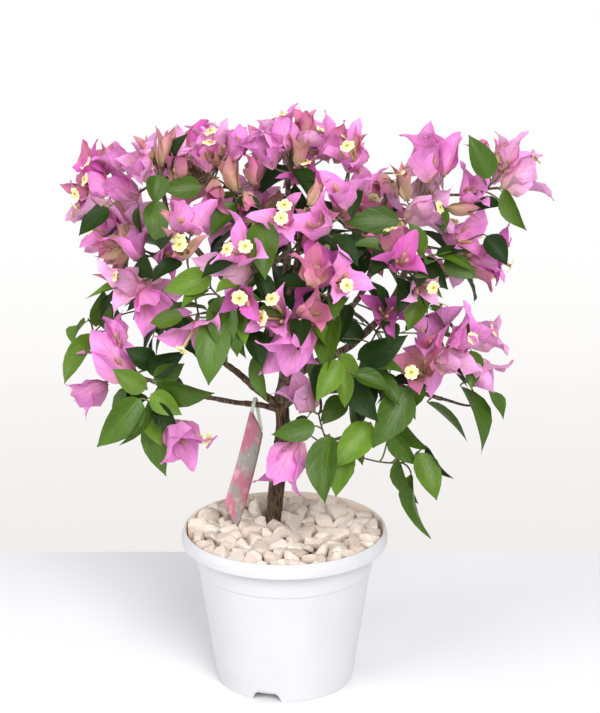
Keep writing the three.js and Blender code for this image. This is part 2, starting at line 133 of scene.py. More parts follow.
# The blooms with a place of their own. A row holds the place of the bloom's foot in its mass as the
# camera sees it, in half widths to the right and half heights up; the way that the bloom faces, as a
# clock hand's angle from straight up and its lean out of the clock's face towards the viewer; the
# length of its bracts in millimetres and how wide they open (degrees); its kind, and how many of its
# flowers are open stars. In some rows a last angle turns the bracts: at 0 the first one lies on the
# hand's clockwise side, at 90 before it.
# The kind deep is a darker copy of the pink: partly a deeper magenta, partly painted shade on blooms inside
# and low in the crown.
PLACED_BLOOMS = {
    "bloom_top": [(0.1, 0.0, 335, 20, 34, 24, "bright", 1), (0.5, 0.2, 0, 10, 25, 14, "rose", 0),
                  (0.9, -0.2, 30, 20, 33, 24, "bright", 1), (-0.3, -0.4, 330, 30, 33, 26, "bright", 0),
                  (0.3, -0.4, 10, 35, 30, 18, "young", 0), (0.5, -0.8, 350, 50, 27, 34, "deep", 1)],
    "bloom_top_left": [(0.4, -0.8, 345, 20, 31, 14, "young", 0), (0.6, -0.8, 165, 25, 26, 15, "rose", 0),
                       (-0.3, -0.3, 350, 25, 31, 24, "bright", 1), (0.3, 0.0, 20, 20, 31, 24, "bright", 0),
                       (0.8, -0.6, 20, 30, 30, 16, "rose", 0), (-0.1, -0.5, 185, 25, 28, 18, "rose", 0)],
    "bloom_top_right": [(0.3, -0.1, 335, 40, 36, 28, "bright", 1),
                        (0.4, -0.6, 10, 35, 30, 26, "bright", 0)],
    "bloom_upper_left": [(0.5, -0.5, 0, 25, 29, 16, "rose", 0), (-0.3, -0.5, 335, 25, 34, 24, "bright", 0),
                         (-0.8, -0.2, 320, 20, 29, 26, "bright", 0),
                         (0.1, -0.1, 10, 20, 27, 16, "young", 0)],
    "bloom_upper_right": [(0.1, -0.2, 352, 25, 42, 16, "bright", 1, 300),
                          (0.4, -0.1, 8, 20, 38, 15, "bright", 0, 300),
                          (-0.35, -0.6, 352, 20, 29, 14, "young", 1),
                          (0.8, -0.6, 45, 40, 31, 34, "bright", 0), (-0.4, -0.9, 78, 25, 40, 22, "pale", 1),
                          (0.5, -0.75, 95, 20, 26, 12, "young", 0)],
    "bloom_far_left": [(0.9, -0.5, 303, 25, 41, 22, "bright", 0), (0.2, -0.7, 265, 10, 34, 18, "pale", 1),
                       (0.3, -0.3, 285, 20, 34, 28, "bright", 1), (0.1, 0.0, 315, 10, 28, 22, "deep", 1)],
    "bloom_far_right": [(-0.05, -0.4, 66, 20, 41, 24, "pale", 1), (-0.5, 0.1, 0, 10, 24, 14, "rose", 0),
                        (-0.1, 0.2, 5, 10, 18, 12, "young", 0)],
    "bloom_left": [(0.1, -0.6, 350, 30, 36, 24, "bright", 0), (-0.3, -0.1, 262, 15, 22, 22, "rose", 0),
                   (0.5, -0.5, 100, 35, 28, 36, "bright", 0)],
    "bloom_left_waist": [(0.2, 0.3, 272, 30, 38, 26, "pale", 1), (0.1, 0.2, 150, 35, 40, 28, "bright", 0)],
    "bloom_inner_left": [(0.0, -0.4, 345, 55, 27, 36, "young", 2),
                         (-0.4, 0.2, 50, 25, 26, 40, "bright", 0)],
    "bloom_centre_left": [(0.1, 0.0, 320, 50, 32, 42, "bright", 2),
                          (0.0, -0.6, 195, 45, 27, 36, "deep", 1)],
    "bloom_centre": [(-0.4, -0.3, 330, 60, 29, 42, "bright", 2), (0.5, -0.5, 315, 40, 35, 32, "bright", 0),
                     (0.9, 0.1, 350, 40, 36, 30, "bright", 0)],
    "bloom_centre_right": [(-0.5, -0.2, 355, 30, 33, 20, "rose", 0),
                           (0.1, -0.1, 70, 60, 28, 48, "bright", 1, 60)],
    "bloom_inner_right": [(0.0, -0.2, 20, 60, 29, 48, "deep", 0), (0.4, -0.5, 140, 45, 27, 30, "pale", 1)],
    "bloom_under_right": [(0.1, -0.1, 0, 70, 24, 52, "deep", 0)],
    "bloom_right": [(-0.5, 0.1, 80, 45, 38, 32, "bright", 0), (0.0, -0.3, 100, 15, 34, 28, "bright", 0)],
    "bloom_low_centre": [(0.4, 0.2, 215, 25, 42, 24, "bright", 0, 240),
                         (-0.1, 0.3, 285, 55, 30, 42, "bright", 2), (0.2, 0.4, 80, 40, 30, 24, "rose", 0)],
    "bloom_low_right": [(-0.1, -0.6, 318, 50, 38, 34, "rose", 1, 120),
                        (0.0, -0.1, 5, 45, 42, 28, "bright", 0, 90),
                        (0.4, 0.0, 52, 35, 38, 22, "bright", 1, 60),
                        (0.1, -0.3, 80, 35, 34, 24, "pale", 0, 60)],
    "bloom_tip_right": [(-0.6, 0.3, 70, 15, 32, 22, "pale", 2),
                        (-0.7, -0.1, 128, 20, 36, 22, "pale", 0, 60)],
    "bloom_at_fork": [(0.6, -0.9, 322, 30, 38, 22, "pale", 0, 60)],
    "bloom_left_pocket": [(0.2, 0.6, 178, 25, 31, 60, "bright", 1, 10)],
    "bloom_low_left": [(0.85, -0.85, 320, 15, 50, 12, "bright", 0, 200),
                       (0.5, 0.1, 345, 10, 26, 10, "bright", 0)],
    "bloom_tip_left": [(0.95, 0.5, 236, 15, 34, 24, "bright", 1)],
    "bloom_hang_left": [(-0.2, 0.65, 145, 30, 45, 32, "bright", 1, 165)],
    "bloom_by_trunk": [(0.5, 0.9, 202, 8, 44, 24, "bright", 1, 95)],
}
# The leaves with a place of their own: where the blade starts in its mass, the clock angle that it
# points at, its length in millimetres, how far it is turned edge on (degrees, the other way round
# with a minus sign), and its green: bright, mid or dark, lighter and darker copies of one leaf green that
# partly paint lit leaves and shaded ones.
PLACED_LEAVES = {
    "leaves_drop_right": [(0.0, -0.05, 163, 48, 74, "mid"), (0.2, 0.3, 160, 36, 0, "bright"),
                          (0.4, 0.4, 140, 30, 65, "dark"), (-0.3, 0.8, 131, 31, 60, "mid"),
                          (-0.35, 0.2, 155, 35, 66, "mid"), (-0.5, 0.6, 139, 29, 20, "mid")],
    "leaves_far_right": [(-0.9, 0.4, 135, 41, -68, "mid"), (-0.2, 0.8, 164, 52, -60, "mid"),
                         (0.4, 0.7, 155, 24, -62, "mid")],
    "leaves_right_centre": [(0.8, -0.2, 211, 48, 0, "mid"), (0.0, -0.9, 221, 42, 10, "bright"),
                            (-0.3, 0.4, 64, 38, 20, "dark"), (-0.5, 0.0, 146, 36, 10, "dark"),
                            (-0.2, 0.8, 300, 28, 0, "dark")],
    "bloom_under_right": [(-0.9, 0.3, 198, 32, 10, "dark")],
    "leaves_drop_centre": [(0.1, 0.2, 184, 48, 25, "mid"), (0.4, 0.1, 185, 40, -20, "bright"),
                           (-0.3, 0.4, 259, 31, 0, "mid"), (0.5, 1.0, 218, 25, 0, "mid")],
    "leaves_under_centre": [(0.0, 0.7, 186, 43, 15, "mid"), (0.2, -0.2, 211, 32, 0, "bright")],
    "leaves_low_left": [(-0.1, 0.0, 222, 45, 0, "mid"), (0.05, -0.05, 213, 37, -62, "mid"),
                        (0.1, 0.1, 124, 26, 0, "bright"), (0.0, 0.2, 302, 27, 0, "bright"),
                        (0.2, 0.3, 98, 42, 45, "mid"), (0.0, 0.6, 65, 31, 20, "dark"),
                        (0.15, 0.7, 300, 24, 10, "dark"), (0.15, 0.4, 62, 24, 10, "mid"),
                        (0.2, -0.1, 140, 24, 40, "dark")],
    "bloom_hang_left": [(-0.8, 0.9, 172, 46, 25, "mid")],
    "leaves_left_edge": [(0.25, 0.1, 211, 41, 50, "bright"), (0.3, 0.3, 12, 26, 20, "mid"),
                         (0.8, 0.2, 345, 24, 10, "mid")],
    "leaves_left_centre": [(0.0, -0.2, 186, 45, 0, "mid"), (0.1, 0.2, 174, 40, 0, "mid"),
                           (0.4, 0.0, 176, 33, 0, "mid"), (0.8, -0.4, 165, 27, 0, "dark"),
                           (-0.1, 0.6, 252, 34, 0, "bright"), (0.9, -0.8, 168, 34, 50, "mid")],
    "leaves_right_shoulder": [(-0.1, 0.4, 139, 29, 0, "dark"), (0.0, -0.4, 205, 27, 0, "bright"),
                              (0.6, 0.4, 121, 26, 0, "mid")],
    "bloom_upper_left": [(-0.1, -1.0, 171, 34, 0, "mid"), (0.1, -0.4, 190, 20, 0, "mid")],
    "bloom_centre": [(-0.9, -0.2, 177, 40, 0, "mid")],
    "bloom_top_left": [(0.4, -1.1, 218, 30, 10, "mid"), (-0.5, -0.7, 265, 27, 15, "mid")],
    "bloom_upper_right": [(-0.5, -1.0, 268, 38, 0, "mid")],
    "bloom_far_right": [(-0.33, -0.2, 332, 33, 0, "mid"), (-0.05, -0.5, 152, 33, 45, "mid"),
                        (-0.1, -0.8, 253, 24, 10, "dark")],
    "bloom_inner_right": [(-0.8, 0.6, 230, 31, 0, "dark")],
    "bloom_right": [(0.3, 0.2, 146, 25, 0, "dark")],
    "bloom_far_left": [(0.2, -0.8, 226, 28, 25, "dark")],
}
LEAF_DEPTH = 0.7        # the ball that those leaves start on, as a share of the mass's depth
SLIMMER = 0.9           # limbs without their bark ridges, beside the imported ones
CROWN_HEART = np.array([5, 20, 300]) * MM
BLOOMS_FOR_SIZE = 5.6   # blooms for each 1000 square millimetres that a mass reaches across
FILL_BEHIND = 0.35      # the share of them that grows behind blooms with a place of their own
LEAVES_FOR_SIZE = 9.0   # leaves of a leafy mass, in the same measure
LEAVES_IN_BLOOM = {"height": (345, 385), "count": (3.2, 1.5)}  # the same for a blooming mass, by height
LEAVES_ON_TWIG = 3
SHORTEST_LEAF = 27 * MM
SHOOT_ROWS, TWIG_ROWS = 16, 7
BARE_ROWS = 4           # the rows at a shoot's foot that bear no twigs

# Of the bract kinds, deep is a darker copy of the pink that is partly painted shade.
BRACTS = ("bract_bright", "bract_pale", "bract_rose", "bract_young", "bract_deep")
# The leaf kinds are lighter and darker copies of one green: dark is painted shade, bright partly painted
# light.
LEAVES = ("leaf_bright", "leaf_mid", "leaf_dark")
# A grown bloom has a random share. It is of the first kind here whose number lies above that share,
# unless it is young, and bright above them all.
KIND_TOPS = {"bract_rose": 0.42, "bract_deep": 0.5, "bract_pale": 0.7}
STAR_CHANCES = (0.66, 0.26, 0.08)   # of no, one and two stars in a grown bloom
YOUNG = {"length": (20, 29), "open": 0.2, "bulge": 0.3, "width": 0.5, "turn": 0.1, "cup": 1.3,
         "wave": 0.06, "lean": 0.3}  # what is narrower and plainer in young blooms
# The shares of bright leaves and of bright and mid ones together: inside and behind, in blooming masses and
# in leafy ones. The dark green inside and behind is painted shade; the bright green, more common outside, is
# partly painted light.
GREENS = {"inside": (0.03, 0.25), "bloom": (0.1, 0.38), "leaves": (0.3, 0.72)}
# The powers of the outline at a blade's foot and tip, and how many corners lie across it.
BRACT_OUTLINE, BRACT_COLUMNS = (0.62, 1.25), 7
LEAF_OUTLINE, LEAF_COLUMNS = (0.68, 1.18), 5


# ---- numbers, directions and curves ---------------------------------------------------------

def dice(job):
    """A random source for one job, so that a change to one job leaves the others as they are."""
    return np.random.default_rng([SEED, *job.encode()])


def unit(vectors):
    """The vectors at length one."""
    return vectors / np.maximum(np.linalg.norm(vectors, axis=-1, keepdims=True), 1e-12)


def square_to(direction, hint):
    """The unit vector at right angles to direction that lies nearest to hint."""
    return unit(hint - direction * (direction * hint).sum(-1, keepdims=True))


def round_about(axis, right, turn):
    """The directions at right angles to axis, at the angles turn round it from the direction right."""
    return np.cos(turn)[..., None] * right + np.sin(turn)[..., None] * np.cross(axis, right)


def clock_way(clock, front):
    """The directions of clock hands in the view, at angles from straight up in degrees, leant out of
    the clock's face towards the viewer by the angles front."""
    clock, front = np.radians(clock)[:, None], np.radians(front)[:, None]
    return np.cos(front) * (np.sin(clock) * VIEW_RIGHT + np.cos(clock) * VIEW_UP) + np.sin(front) * TO_VIEWER


def rumple(points, pitch, job, waves=9):
    """Smooth noise of about -1 to 1: the sum of sine waves that run in random directions, each
    about pitch long."""
    source = dice(job)
    ways = unit(source.normal(size=(waves, 3))) * source.uniform(0.6, 1.5, (waves, 1)) * 2 * math.pi / pitch
    return np.sin(points @ ways.T + source.uniform(0, 2 * math.pi, waves)).sum(-1) / math.sqrt(waves)


def smooth_path(corners, count):
    """Points at even steps on the curve through the corners (Catmull-Rom): between two corners it
    is the cubic whose slope at a corner is half the step from the corner before to the one after."""
    corners = np.asarray(corners, float) * MM
    knots = np.concatenate([2 * corners[:1] - corners[1:2], corners, 2 * corners[-1:] - corners[-2:-1]])
    at = np.linspace(0, len(corners) - 1, 400)
    first = np.minimum(at.astype(int), len(corners) - 2)
    t = (at - first)[:, None]
    a, b, c, d = (knots[first + k] for k in range(4))
    fine = b + t * ((c - a) + t * ((2 * a - 5 * b + 4 * c - d) + t * (3 * b - 3 * c + d - a))) / 2
    way = np.concatenate([[0], np.cumsum(np.linalg.norm(np.diff(fine, axis=0), axis=1))])
    even = np.linspace(0, way[-1], count)
    return np.stack([np.interp(even, way, fine[:, k]) for k in range(3)], axis=1)


def arcs(start, leaving, end, arriving, count):
    """Curves (n, count, 3): the cubics from start to end with the given speeds at their two ends."""
    t = np.linspace(0, 1, count)[None, :, None]
    start, leaving, end, arriving = (v[:, None] for v in (start, leaving, end, arriving))
    return ((2 * t**3 - 3 * t**2 + 1) * start + (t**3 - 2 * t**2 + t) * leaving
            + (3 * t**2 - 2 * t**3) * end + (t**3 - t**2) * arriving)


# ---- meshes ---------------------------------------------------------------------------------

def mesh_piece(name, points, quads, triangles, finish, maps=None, smooth=True):
    """Makes one piece from whole arrays: corner places, four- and three-cornered faces, and maps
    of a value or a pair of values for each corner."""
    mesh = bpy.data.meshes.new(name)
    mesh.vertices.add(len(points))
    mesh.vertices.foreach_set("co", points.ravel())
    corners = np.concatenate([quads.ravel(), triangles.ravel()])
    starts = np.concatenate([np.arange(len(quads)) * 4, len(quads) * 4 + np.arange(len(triangles)) * 3])
    mesh.loops.add(len(corners))
    mesh.loops.foreach_set("vertex_index", corners)
    mesh.polygons.add(len(starts))
    mesh.polygons.foreach_set("loop_start", starts)
    mesh.polygons.foreach_set("use_smooth", np.full(len(starts), smooth))
    for key, values in (maps or {}).items():
        if values.ndim == 2:
            mesh.uv_layers.new(name=key).data.foreach_set("uv", values[corners].ravel())
        else:
            mesh.attributes.new(key, "FLOAT", "POINT").data.foreach_set("value", values)
    mesh.update(calc_edges=True)
    mesh.validate()
    mesh.materials.append(finish)
    piece = bpy.data.objects.new(name, mesh)
    bpy.context.scene.collection.objects.link(piece)
    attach(piece, "root")
    return piece


def grid_faces(rows, columns, ring, offsets):
    """The faces between neighbours of a grid whose corners are numbered row by row, once for each
    of the offsets (n, 1, 1). With ring, the last column meets the first."""
    row, column = np.meshgrid(np.arange(rows - 1), np.arange(columns if ring else columns - 1), indexing="ij")
    after = (column + 1) % columns
    one = np.stack([row * columns + column, row * columns + after,
                    (row + 1) * columns + after, (row + 1) * columns + column], axis=-1).reshape(-1, 4)
    return (one[None] + offsets).reshape(-1, 4)


def sheets(name, grids, finish, tone=None, ring=False):
    """One piece of many open sheets from grids (n, rows, columns, 3). The map along_across holds
    the row and the column of each corner from 0 to 1. With ring, the last column meets the first."""
    n, rows, columns = grids.shape[:3]
    quads = grid_faces(rows, columns, ring, np.arange(n)[:, None, None] * rows * columns)
    u, v = np.meshgrid(np.linspace(0, 1, rows), np.linspace(0, 1, columns), indexing="ij")
    place = np.tile(np.stack([u, v], axis=-1).reshape(-1, 2), (n, 1))
    tones = np.repeat(np.zeros(n) if tone is None else tone, rows * columns)
    return mesh_piece(name, grids.reshape(-1, 3), quads, np.empty((0, 3), int), finish,
                      {"along_across": place, "tone": tones})


def skins(name, rings, first, last, finish, slot, tone=None, smooth=True):
    """One piece of many closed skins: rings (n, rows, sides, 3) joined one to the next, and closed
    with fans on the end points first and last (n, 3)."""
    n, rows, sides = rings.shape[:3]
    each = rows * sides + 2
    offsets = np.arange(n)[:, None, None] * each
    quads = grid_faces(rows, sides, True, offsets)
    side = np.arange(sides)
    after = (side + 1) % sides
    top = (rows - 1) * sides
    fans = np.concatenate([np.stack([np.full(sides, each - 2), after, side], axis=-1),
                           np.stack([np.full(sides, each - 1), top + side, top + after], axis=-1)])
    triangles = (fans[None] + offsets).reshape(-1, 3)
    points = np.concatenate([rings.reshape(n, -1, 3), first[:, None], last[:, None]], axis=1).reshape(-1, 3)
    tones = np.repeat(np.zeros(n) if tone is None else tone, each)
    return mesh_piece(name, points, quads, triangles, finish, {"tone": tones}, smooth)


def rings_round(paths, radii, sides):
    """Rings (n, m, sides, 3) square to the paths (n, m, 3): at each point a circle of its radius."""
    along = unit(np.gradient(paths, axis=1))
    run = unit(paths[:, -1] - paths[:, 0])
    hint = np.where(np.abs(run[:, 2:]) > 0.75, np.array([1.0, 0.3, 0]), UP)[:, None]
    right = square_to(along, np.broadcast_to(hint, along.shape))
    turn = np.linspace(0, 2 * math.pi, sides, endpoint=False)
    circle = round_about(along[:, :, None], right[:, :, None], turn)
    radii = np.broadcast_to(radii, paths.shape[:2])
    return paths[:, :, None] + radii[:, :, None, None] * circle


def stems(name, paths, radii, sides, finish, slot):
    """One piece of closed round stems along the paths."""
    return skins(name, rings_round(paths, radii, sides), paths[:, 0], paths[:, -1], finish, slot)


def blades(base, along, face, size, shape, columns):
    """Grids (n, 10, columns, 3) of leaf-like blades. The spine starts at base along the direction
    along. At the share u of the length it has turned away from the side face by
    turn u^2 - belly sin(pi u). The half width there is u^rise (1-u)^fall, scaled to the width.
    Across, the blade is an arc of the angle cup, folded up at the midrib, with a wave that grows
    towards the edge, and it twists along its spine."""
    length, width = size
    u = np.array([0, 0.05, 0.14, 0.27, 0.42, 0.58, 0.73, 0.86, 0.95, 1])[None, :, None]
    v = np.linspace(-1, 1, columns)[None, None, :]
    per = lambda key: np.broadcast_to(shape[key], len(base))[:, None, None]
    rise, fall = shape["outline"]
    peak = rise / (rise + fall)
    swell = np.maximum(u**rise * (1 - u) ** fall / (peak**rise * (1 - peak) ** fall), 0.03)
    turn = (per("turn") * u**2 - per("belly") * np.sin(math.pi * u))[..., None]
    along, face = along[:, None, None], face[:, None, None]
    ahead = np.cos(turn) * along - np.sin(turn) * face
    normal = np.cos(turn) * face + np.sin(turn) * along
    side = np.cross(along, face)
    steps = (ahead[:, 1:] + ahead[:, :-1]) / 2 * np.diff(u, axis=1)[..., None]
    spine = np.concatenate([np.zeros_like(steps[:, :1]), np.cumsum(steps, axis=1)], axis=1)
    twist = (per("twist") * u)[..., None]
    side, normal = (np.cos(twist) * side + np.sin(twist) * normal,
                    np.cos(twist) * normal - np.sin(twist) * side)
    half = (width / 2)[:, None, None]
    reach = v * swell * half
    bend = np.maximum(per("cup"), 0.02) / half
    out = np.sin(reach * bend) / bend
    lift = (1 - np.cos(reach * bend)) / bend + per("fold") * np.abs(reach)
    ripple = np.sin(2 * math.pi * per("waves") * u + per("phase") + 1.3 * np.sign(v))
    lift = lift + per("wave") * half * ripple * v**2 * np.sqrt(swell)
    return (base[:, None, None] + spine * length[:, None, None, None]
            + out[..., None] * side + lift[..., None] * normal)


def blade_shapes(source, count, twist, outline, **ranges):
    """The shapes of so many blades. A pair of numbers is the range of a random draw for each blade;
    anything else holds as it is. The twist is the usual size of a random one."""
    shape = {key: source.uniform(*value, count) if isinstance(value, tuple) else value
             for key, value in {**ranges, "phase": (0, 6.3)}.items()}
    return {**shape, "twist": source.normal(scale=twist, size=count), "outline": outline}


# ---- finishes -------------------------------------------------------------------------------

class Steps:
    """Nodes put together step by step in front of one shader."""

    def __init__(self, tree, shader):
        self.tree = tree
        self.shader = tree.nodes[shader]

    def step(self, kind, sockets=None, out=0, **settings):
        """Adds a node and gives one of its outputs. Sockets take a value or another step's output."""
        node = self.tree.nodes.new(kind)
        for key, value in settings.items():
            setattr(node, key, value)
        for key, value in (sockets or {}).items():
            if isinstance(value, bpy.types.NodeSocket):
                self.tree.links.new(value, node.inputs[key])
            else:
                node.inputs[key].default_value = value
        return node.outputs[out]

    def parts(self, vector):
        """The three numbers of a vector."""
        return self.step("ShaderNodeSeparateXYZ", {0: vector}).node.outputs

    def place(self, stretch=(1, 1, 1)):
        """The place on the piece, stretched to draw a pattern out."""
        at = self.step("ShaderNodeTexCoord", out="Object")
        return self.step("ShaderNodeMapping", {"Vector": at, "Scale": stretch})

    def noise(self, at, scale, detail=3.0, roughness=0.55):
        """Cloudy noise of so many clouds to the metre."""
        return self.step("ShaderNodeTexNoise", {"Vector": at, "Scale": scale, "Detail": detail,
                                                "Roughness": roughness}, out="Fac")

    def span(self, value, low, high, to_low=0.0, to_high=1.0):
        """Maps low to high onto to_low to to_high, smoothly and no further."""
        return self.step("ShaderNodeMapRange", {"Value": value, "From Min": low, "From Max": high,
                                                "To Min": to_low, "To Max": to_high},
                         interpolation_type="SMOOTHSTEP")

    def sum(self, operation, a, b):
        """Works out a sum on two values."""
        return self.step("ShaderNodeMath", {0: a, 1: b}, operation=operation)

    def mix(self, share, a, b):
        """Colour a where share is 0, going over to colour b where it is 1."""
        a, b = (tint if isinstance(tint, bpy.types.NodeSocket) else (*tint, 1) for tint in (a, b))
        return self.step("ShaderNodeMix", {0: share, 6: a, 7: b}, out=2, data_type="RGBA")

    def wire(self, **sockets):
        """Leads steps into the shader's sockets."""
        for key, value in sockets.items():
            self.tree.links.new(value, self.shader.inputs[key.replace("_", " ")])


class Finish(Steps):
    """A material of nodes in front of its Principled shader."""

    def __init__(self, name, **surface):
        self.material = bpy.data.materials.new(name)
        self.material.use_nodes = True
        super().__init__(self.material.node_tree, "Principled BSDF")
        for key, value in surface.items():
            self.shader.inputs[key.replace("_", " ")].default_value = value

    def tone(self):
        """The tone of each blade or stone, from 0 to 1."""
        return self.step("ShaderNodeAttribute", attribute_name="tone", out="Fac")

    def bump(self, height, depth, strength=1.0):
        """Relief of so many metres."""
        relief = {"Height": height, "Distance": depth, "Strength": strength}
        self.wire(Normal=self.step("ShaderNodeBump", relief))

    def lit_through(self, tint, share):
        """Lets some of the light through a thin sheet."""
        glow = self.step("ShaderNodeBsdfTranslucent", {"Color": tint})
        both = self.step("ShaderNodeMixShader", {0: share, 1: self.shader.outputs[0], 2: glow})
        self.tree.links.new(both, self.tree.nodes["Material Output"].inputs["Surface"])


def moulded_plastic():
    """Satin white plastic with the faint mottle of moulding, and a painted warm reflection of the stones
    inside its mouth: it lies above the neck, where the distance from the middle is less than the mouth's."""
    f = Finish("white_moulded_plastic", Roughness=0.34, Specular_IOR_Level=0.45)
    at = f.place()
    cloud = f.noise(at, 28, 4)
    plain = f.mix(f.span(cloud, 0.3, 0.7), (0.57, 0.57, 0.595), (0.6, 0.6, 0.62))
    flat = f.step("ShaderNodeVectorMath", {0: at, 1: (1, 1, 0)}, operation="MULTIPLY")
    far = f.step("ShaderNodeVectorMath", {0: flat}, out="Value", operation="LENGTH")
    mouth, neck = POT["mouth_radius"] * MM, (POT["height"] - POT["lip_height"]) * MM
    # inside: where the painted warm reflection of the stones lies on the mouth's inner wall
    inside = f.sum("MULTIPLY", f.span(far, mouth + 0.0014, mouth - 0.0002),
                   f.span(f.parts(at)[2], neck - 0.001, neck + 0.001))
    # the beige is the painted reflection of the stones
    f.wire(Base_Color=f.mix(inside, plain, (0.86, 0.73, 0.62)))
    f.bump(f.noise(at, 420, 2), 0.00008, 0.4)
    return f.material


def potting_mix():
    """Dark moist crumbs."""
    f = Finish("potting_mix", Roughness=0.95)
    at = f.place()
    crumbs = f.noise(at, 260, 6)
    f.wire(Base_Color=f.mix(f.span(crumbs, 0.35, 0.7), (0.02, 0.013, 0.008), (0.1, 0.06, 0.035)))
    f.bump(crumbs, 0.003)
    return f.material


def crushed_stone():
    """Chalky beige stone: each stone has a tone of its own, with pale faces, rusty veins and pits."""
    f = Finish("crushed_stone", Roughness=0.9, Specular_IOR_Level=0.25)
    at = f.place()
    grain = f.noise(at, 700, 5, 0.65)
    veins = f.noise(at, 120, 4, 0.6)
    body = f.mix(f.tone(), (0.65, 0.55, 0.47), (0.83, 0.75, 0.67))
    stained = f.mix(f.span(veins, 0.55, 0.72, 0, 0.45), body, (0.62, 0.44, 0.34))
    f.wire(Base_Color=f.mix(f.span(grain, 0.3, 0.6, 0.3, 0), stained, (0.45, 0.36, 0.3)))
    f.bump(f.sum("ADD", grain, veins), 0.0009, 0.9)
    return f.material


def bark(name, dark, light, moss):
    """Rough bark: long cracks and cloudy patches."""
    f = Finish(name, Roughness=0.88, Specular_IOR_Level=0.2)
    cracks = f.noise(f.place((1, 1, 0.22)), 620, 5, 0.62)
    patches = f.noise(f.place(), 95, 3)
    wood = f.mix(f.span(cracks, 0.36, 0.62), dark, light)
    f.wire(Base_Color=f.mix(f.span(patches, 0.45, 0.75, 0, 0.55), wood, moss))
    f.bump(cracks, 0.0008)
    return f.material


def green_stem():
    """Young green bark that goes brown in patches."""
    f = Finish("green_stem", Roughness=0.6)
    patches = f.noise(f.place(), 60, 3)
    f.wire(Base_Color=f.mix(f.span(patches, 0.4, 0.65), (0.13, 0.17, 0.05), (0.12, 0.085, 0.05)))
    f.bump(f.noise(f.place(), 900, 2), 0.0002, 0.5)
    return f.material


def veined(name, body, foot, vein, tinting, through, roughness=0.55, veins=(7, 0.6), gloss=0.3):
    """A thin blade's finish from its map along_across: a foot of another tint, a midrib and side
    veins that run forward to the edge, and a tone for each blade. The pair tinting says how far up
    the foot's tint reaches and how strong it is, the pair veins how many there are to a side and how
    strong they are, and through is the share of the light that passes."""
    f = Finish(name, Roughness=roughness, Specular_IOR_Level=gloss)
    foot_reach, foot_strength = tinting
    vein_count, vein_strength = veins
    u, v, _ = f.parts(f.step("ShaderNodeUVMap", uv_map="along_across"))
    off = f.sum("ABSOLUTE", f.sum("SUBTRACT", v, 0.5), 0.0)  # 0 at the midrib, 0.5 at the edge
    forward = f.sum("SUBTRACT", u, f.sum("MULTIPLY", off, 0.62))
    side_vein = f.sum("FRACT", f.sum("MULTIPLY", forward, vein_count), 0.0)
    line = f.span(f.sum("ABSOLUTE", f.sum("SUBTRACT", side_vein, 0.5), 0.0), 0.0, 0.13, 1, 0)
    rib = f.span(f.sum("ADD", off, f.sum("MULTIPLY", u, 0.035)), 0.0, 0.06, 1, 0)  # thins towards the tip
    lines = f.sum("MAXIMUM", f.sum("MULTIPLY", line, 0.55), rib)
    cloud = f.noise(f.place(), 90, 2)
    shaded = f.mix(f.span(cloud, 0.35, 0.7, 0.4, 0), body, tuple(0.62 * c for c in body))
    middle = f.sum("MULTIPLY", f.span(off, 0.0, 0.3, 0.5 * foot_strength, 0), f.span(u, 0.3, 1.0, 1, 0))
    # On bracts the foot's tint is their paler base and, where it reaches far up, painted red-brown shade in
    # the heart of the bloom.
    footed = f.mix(f.sum("MAXIMUM", f.span(u, 0.0, foot_reach, foot_strength, 0), middle), shaded, foot)
    drawn = f.mix(f.sum("MULTIPLY", lines, vein_strength), footed, f.mix(f.span(u, 0.1, 0.6), foot, vein))
    toned = f.step("ShaderNodeHueSaturation", {"Value": f.span(f.tone(), 0, 1, 0.76, 1.16), "Color": drawn})
    f.wire(Base_Color=toned)
    f.bump(f.sum("ADD", lines, f.noise(f.place(), 260, 2)), 0.00025, 0.6)
    f.lit_through(toned, through)
    return f.material


def plain_petal(name, body):
    """A small soft part: one colour with a faint cloud in it."""
    f = Finish(name, Roughness=0.6, Specular_IOR_Level=0.3)
    cloud = f.noise(f.place(), 240, 2)
    f.wire(Base_Color=f.mix(f.span(cloud, 0.3, 0.7), tuple(0.82 * c for c in body), body))
    f.bump(cloud, 0.0001, 0.4)
    return f.material


def star_petal():
    """The flower's limb: cream yellow, deeper in the throat."""
    f = Finish("cream_star", Roughness=0.6)
    out = f.parts(f.step("ShaderNodeUVMap", uv_map="along_across"))[0]
    deep = f.mix(f.span(out, 0.0, 0.25), (0.3, 0.3, 0.05), (0.82, 0.74, 0.24))
    tint = f.mix(f.span(out, 0.3, 0.9), deep, (0.91, 0.84, 0.52))
    f.wire(Base_Color=tint)
    f.bump(f.noise(f.place(), 900, 2), 0.0001, 0.4)
    f.lit_through(tint, 0.15)
    return f.material


def blotched_card():
    """A glossy card with soft blotches of dusty rose and grey green."""
    f = Finish("blotched_card", Roughness=0.3, Specular_IOR_Level=0.5)
    at = f.place((1, 1, 0.6))
    wide = f.noise(at, 75, 3, 0.6)
    fine = f.noise(at, 210, 3, 0.6)
    body = f.mix(f.span(wide, 0.44, 0.56), (0.37, 0.345, 0.31), (0.59, 0.19, 0.28))
    spotted = f.mix(f.span(fine, 0.55, 0.66, 0, 0.7), body, (0.68, 0.46, 0.48))
    f.wire(Base_Color=f.mix(f.span(fine, 0.28, 0.4, 0.6, 0), spotted, (0.2, 0.21, 0.17)))
    return f.material


def strap_plastic():
    """Milky plastic with a green cast."""
    f = Finish("strap_plastic", Roughness=0.35)
    cloud = f.noise(f.place(), 120, 2)
    f.wire(Base_Color=f.mix(cloud, (0.5, 0.6, 0.42), (0.72, 0.78, 0.66)))
    return f.material


